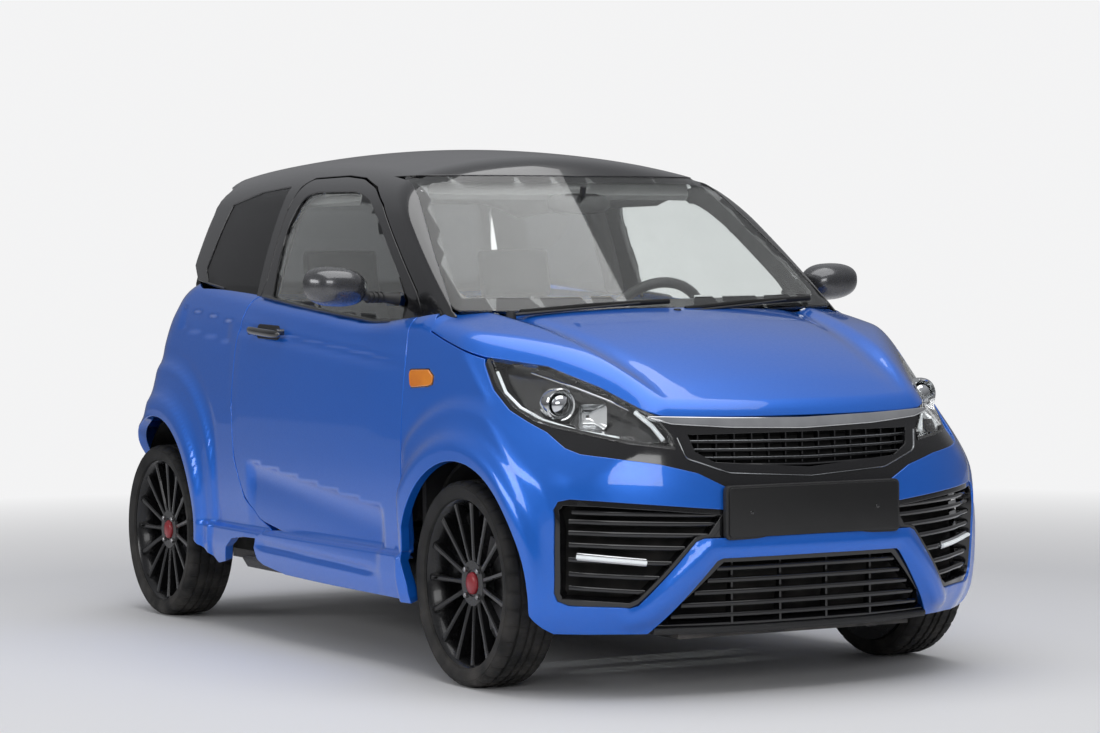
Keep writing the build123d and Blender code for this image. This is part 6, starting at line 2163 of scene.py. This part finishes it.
@dataclass(frozen=True)
class Studio:
    """Pale floor, soft lights and the camera."""

    eye: Point3 = (-4.479, -8.2067, 1.0774)
    yaw: float = -28.97
    pitch: float = -1.74
    roll: float = -0.43
    lens: float = 104.34

    def camera(self) -> bpy.types.Object:
        """Place the camera."""
        data = bpy.data.cameras.new("camera")
        data.lens, data.sensor_width, data.sensor_fit = self.lens, 36.0, "HORIZONTAL"
        camera = bpy.data.objects.new("camera", data)
        yaw, pitch, roll = (Matrix.Rotation(math.radians(angle), 4, axis) for angle,
            axis in ((self.yaw, "Z"), (90 + self.pitch, "X"), (self.roll, "Z")))
        camera.matrix_world = Matrix.Translation(self.eye) @ (yaw @ pitch) @ roll
        bpy.context.scene.collection.objects.link(camera)
        bpy.context.scene.camera = camera
        return camera

    def floor(self) -> None:
        """Lay a pale floor that fades into the surround."""
        lump = Lump()
        lump.grid([self.ring(k / 40) for k in range(41)])
        mesh = bpy.data.meshes.new("studio_floor")
        mesh.from_pydata(lump.points, [], lump.faces)
        mesh.shade_smooth()
        floor = bpy.data.objects.new("studio_floor", mesh)
        bpy.context.scene.collection.objects.link(floor)
        mesh.materials.append(self.floor_material())

    def ring(self, t: float) -> list[Point3]:
        """One ring of the floor disc, from its middle at t = 0 to its edge at t = 1."""
        r = 0.001 + FLOOR_R * t
        return [(r * math.cos(a), r * math.sin(a), 0.0) for a in (*turns(48), 2 * math.pi)]

    def floor_material(self) -> bpy.types.Material:
        """Pale, faintly mottled matt floor."""
        made = bpy.data.materials.new("studio floor")
        made.use_nodes = True
        nodes = Nodes(made.node_tree)
        shader = made.node_tree.nodes["Principled BSDF"]
        cloud = nodes.add("ShaderNodeTexNoise", {"Scale": 0.7, "Detail": 3.0}).outputs[0]
        colour = nodes.mix(cloud, (0.78, 0.78, 0.79, 1.0), (0.82, 0.82, 0.83, 1.0))
        made.node_tree.links.new(colour, shader.inputs["Base Color"])
        shader.inputs["Roughness"].default_value = 0.6
        place = nodes.add("ShaderNodeSeparateXYZ", {0: nodes.add("ShaderNodeTexCoord").outputs["Object"]})
        far = nodes.math("SQRT", nodes.math("ADD", nodes.math("POWER", place.outputs[0], 2.0),
            nodes.math("POWER", place.outputs[1], 2.0)))
        path = nodes.add("ShaderNodeLightPath")
        seen = nodes.math("MAXIMUM", path.outputs["Is Camera Ray"], path.outputs["Is Transmission Ray"])
        fade = nodes.math("MULTIPLY", seen, nodes.spread(far, 2.6, 6.5, 0.0, 1.0))
        glow = nodes.add("ShaderNodeEmission", {"Color": BACKDROP, "Strength": 1.0})
        blend = nodes.add("ShaderNodeMixShader", {0: fade, 1: shader.outputs[0], 2: glow.outputs[0]})
        made.node_tree.links.new(blend.outputs[0], made.node_tree.nodes["Material Output"].inputs[0])
        return made

    def lamp(self, name: str, place: Point3, aim: Point3, size: Point2, power: float) -> None:
        """Hang one soft rectangular light."""
        data = bpy.data.lights.new(name, "AREA")
        data.shape, data.size, data.size_y, data.energy = "RECTANGLE", size[0], size[1], power
        light = bpy.data.objects.new(name, data)
        look = (Vector(aim) - Vector(place)).to_track_quat("-Z", "Y").to_matrix().to_4x4()
        light.matrix_world = Matrix.Translation(place) @ look
        bpy.context.scene.collection.objects.link(light)

    def world(self) -> None:
        """A pale surround that is white where the camera and glass see it, and grey, lighter upwards, for
        other rays.
        """
        world = bpy.data.worlds.new("studio")
        bpy.context.scene.world = world
        world.use_nodes = True
        nodes = Nodes(world.node_tree)
        shade = world.node_tree.nodes["Background"]
        path = nodes.add("ShaderNodeLightPath")
        seen = nodes.math("MAXIMUM", path.outputs["Is Camera Ray"], path.outputs["Is Transmission Ray"])
        height = nodes.add("ShaderNodeSeparateXYZ",
            {0: nodes.add("ShaderNodeTexCoord").outputs["Generated"]}).outputs[2]
        sky = nodes.mix(nodes.spread(height, -0.1, 0.55, 0.0, 1.0), (0.1, 0.1, 0.105, 1.0),
            (0.34, 0.345, 0.36, 1.0))
        colour = nodes.mix(seen, sky, BACKDROP)
        world.node_tree.links.new(colour, shade.inputs["Color"])
        shade.inputs["Strength"].default_value = 1.0

    def build(self) -> None:
        """Set up the whole studio."""
        self.camera()
        self.floor()
        self.world()
        self.lamp("overhead", (0.0, -1.0, 5.2), (0.0, 0.0, 0.0), (5.0, 6.5), 190.0)
        self.lamp("front_fill", (-3.0, -8.5, 3.2), (0.0, -0.5, 0.6), (4.5, 2.2), 130.0)
        self.lamp("side_fill", (-7.0, 0.5, 2.6), (0.0, 0.2, 0.6), (5.0, 1.6), 110.0)
        bpy.context.scene.view_settings.view_transform = "Standard"


# ------------------------------------------------------------------ main
def main() -> None:
    """Build each assembly in order, and report its pieces."""
    logging.basicConfig(level=logging.INFO, format="%(message)s")
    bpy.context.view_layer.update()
    Studio().build()
    for part in assemblies():
        before = set(bpy.data.objects)
        part()
        for piece in sorted(set(bpy.data.objects) - before, key=lambda o: o.name):
            if piece.type == "MESH":
                LOG.info("%s: %d faces", piece.name, len(piece.data.polygons))


if __name__ == "__main__":
    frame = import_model()
    main()
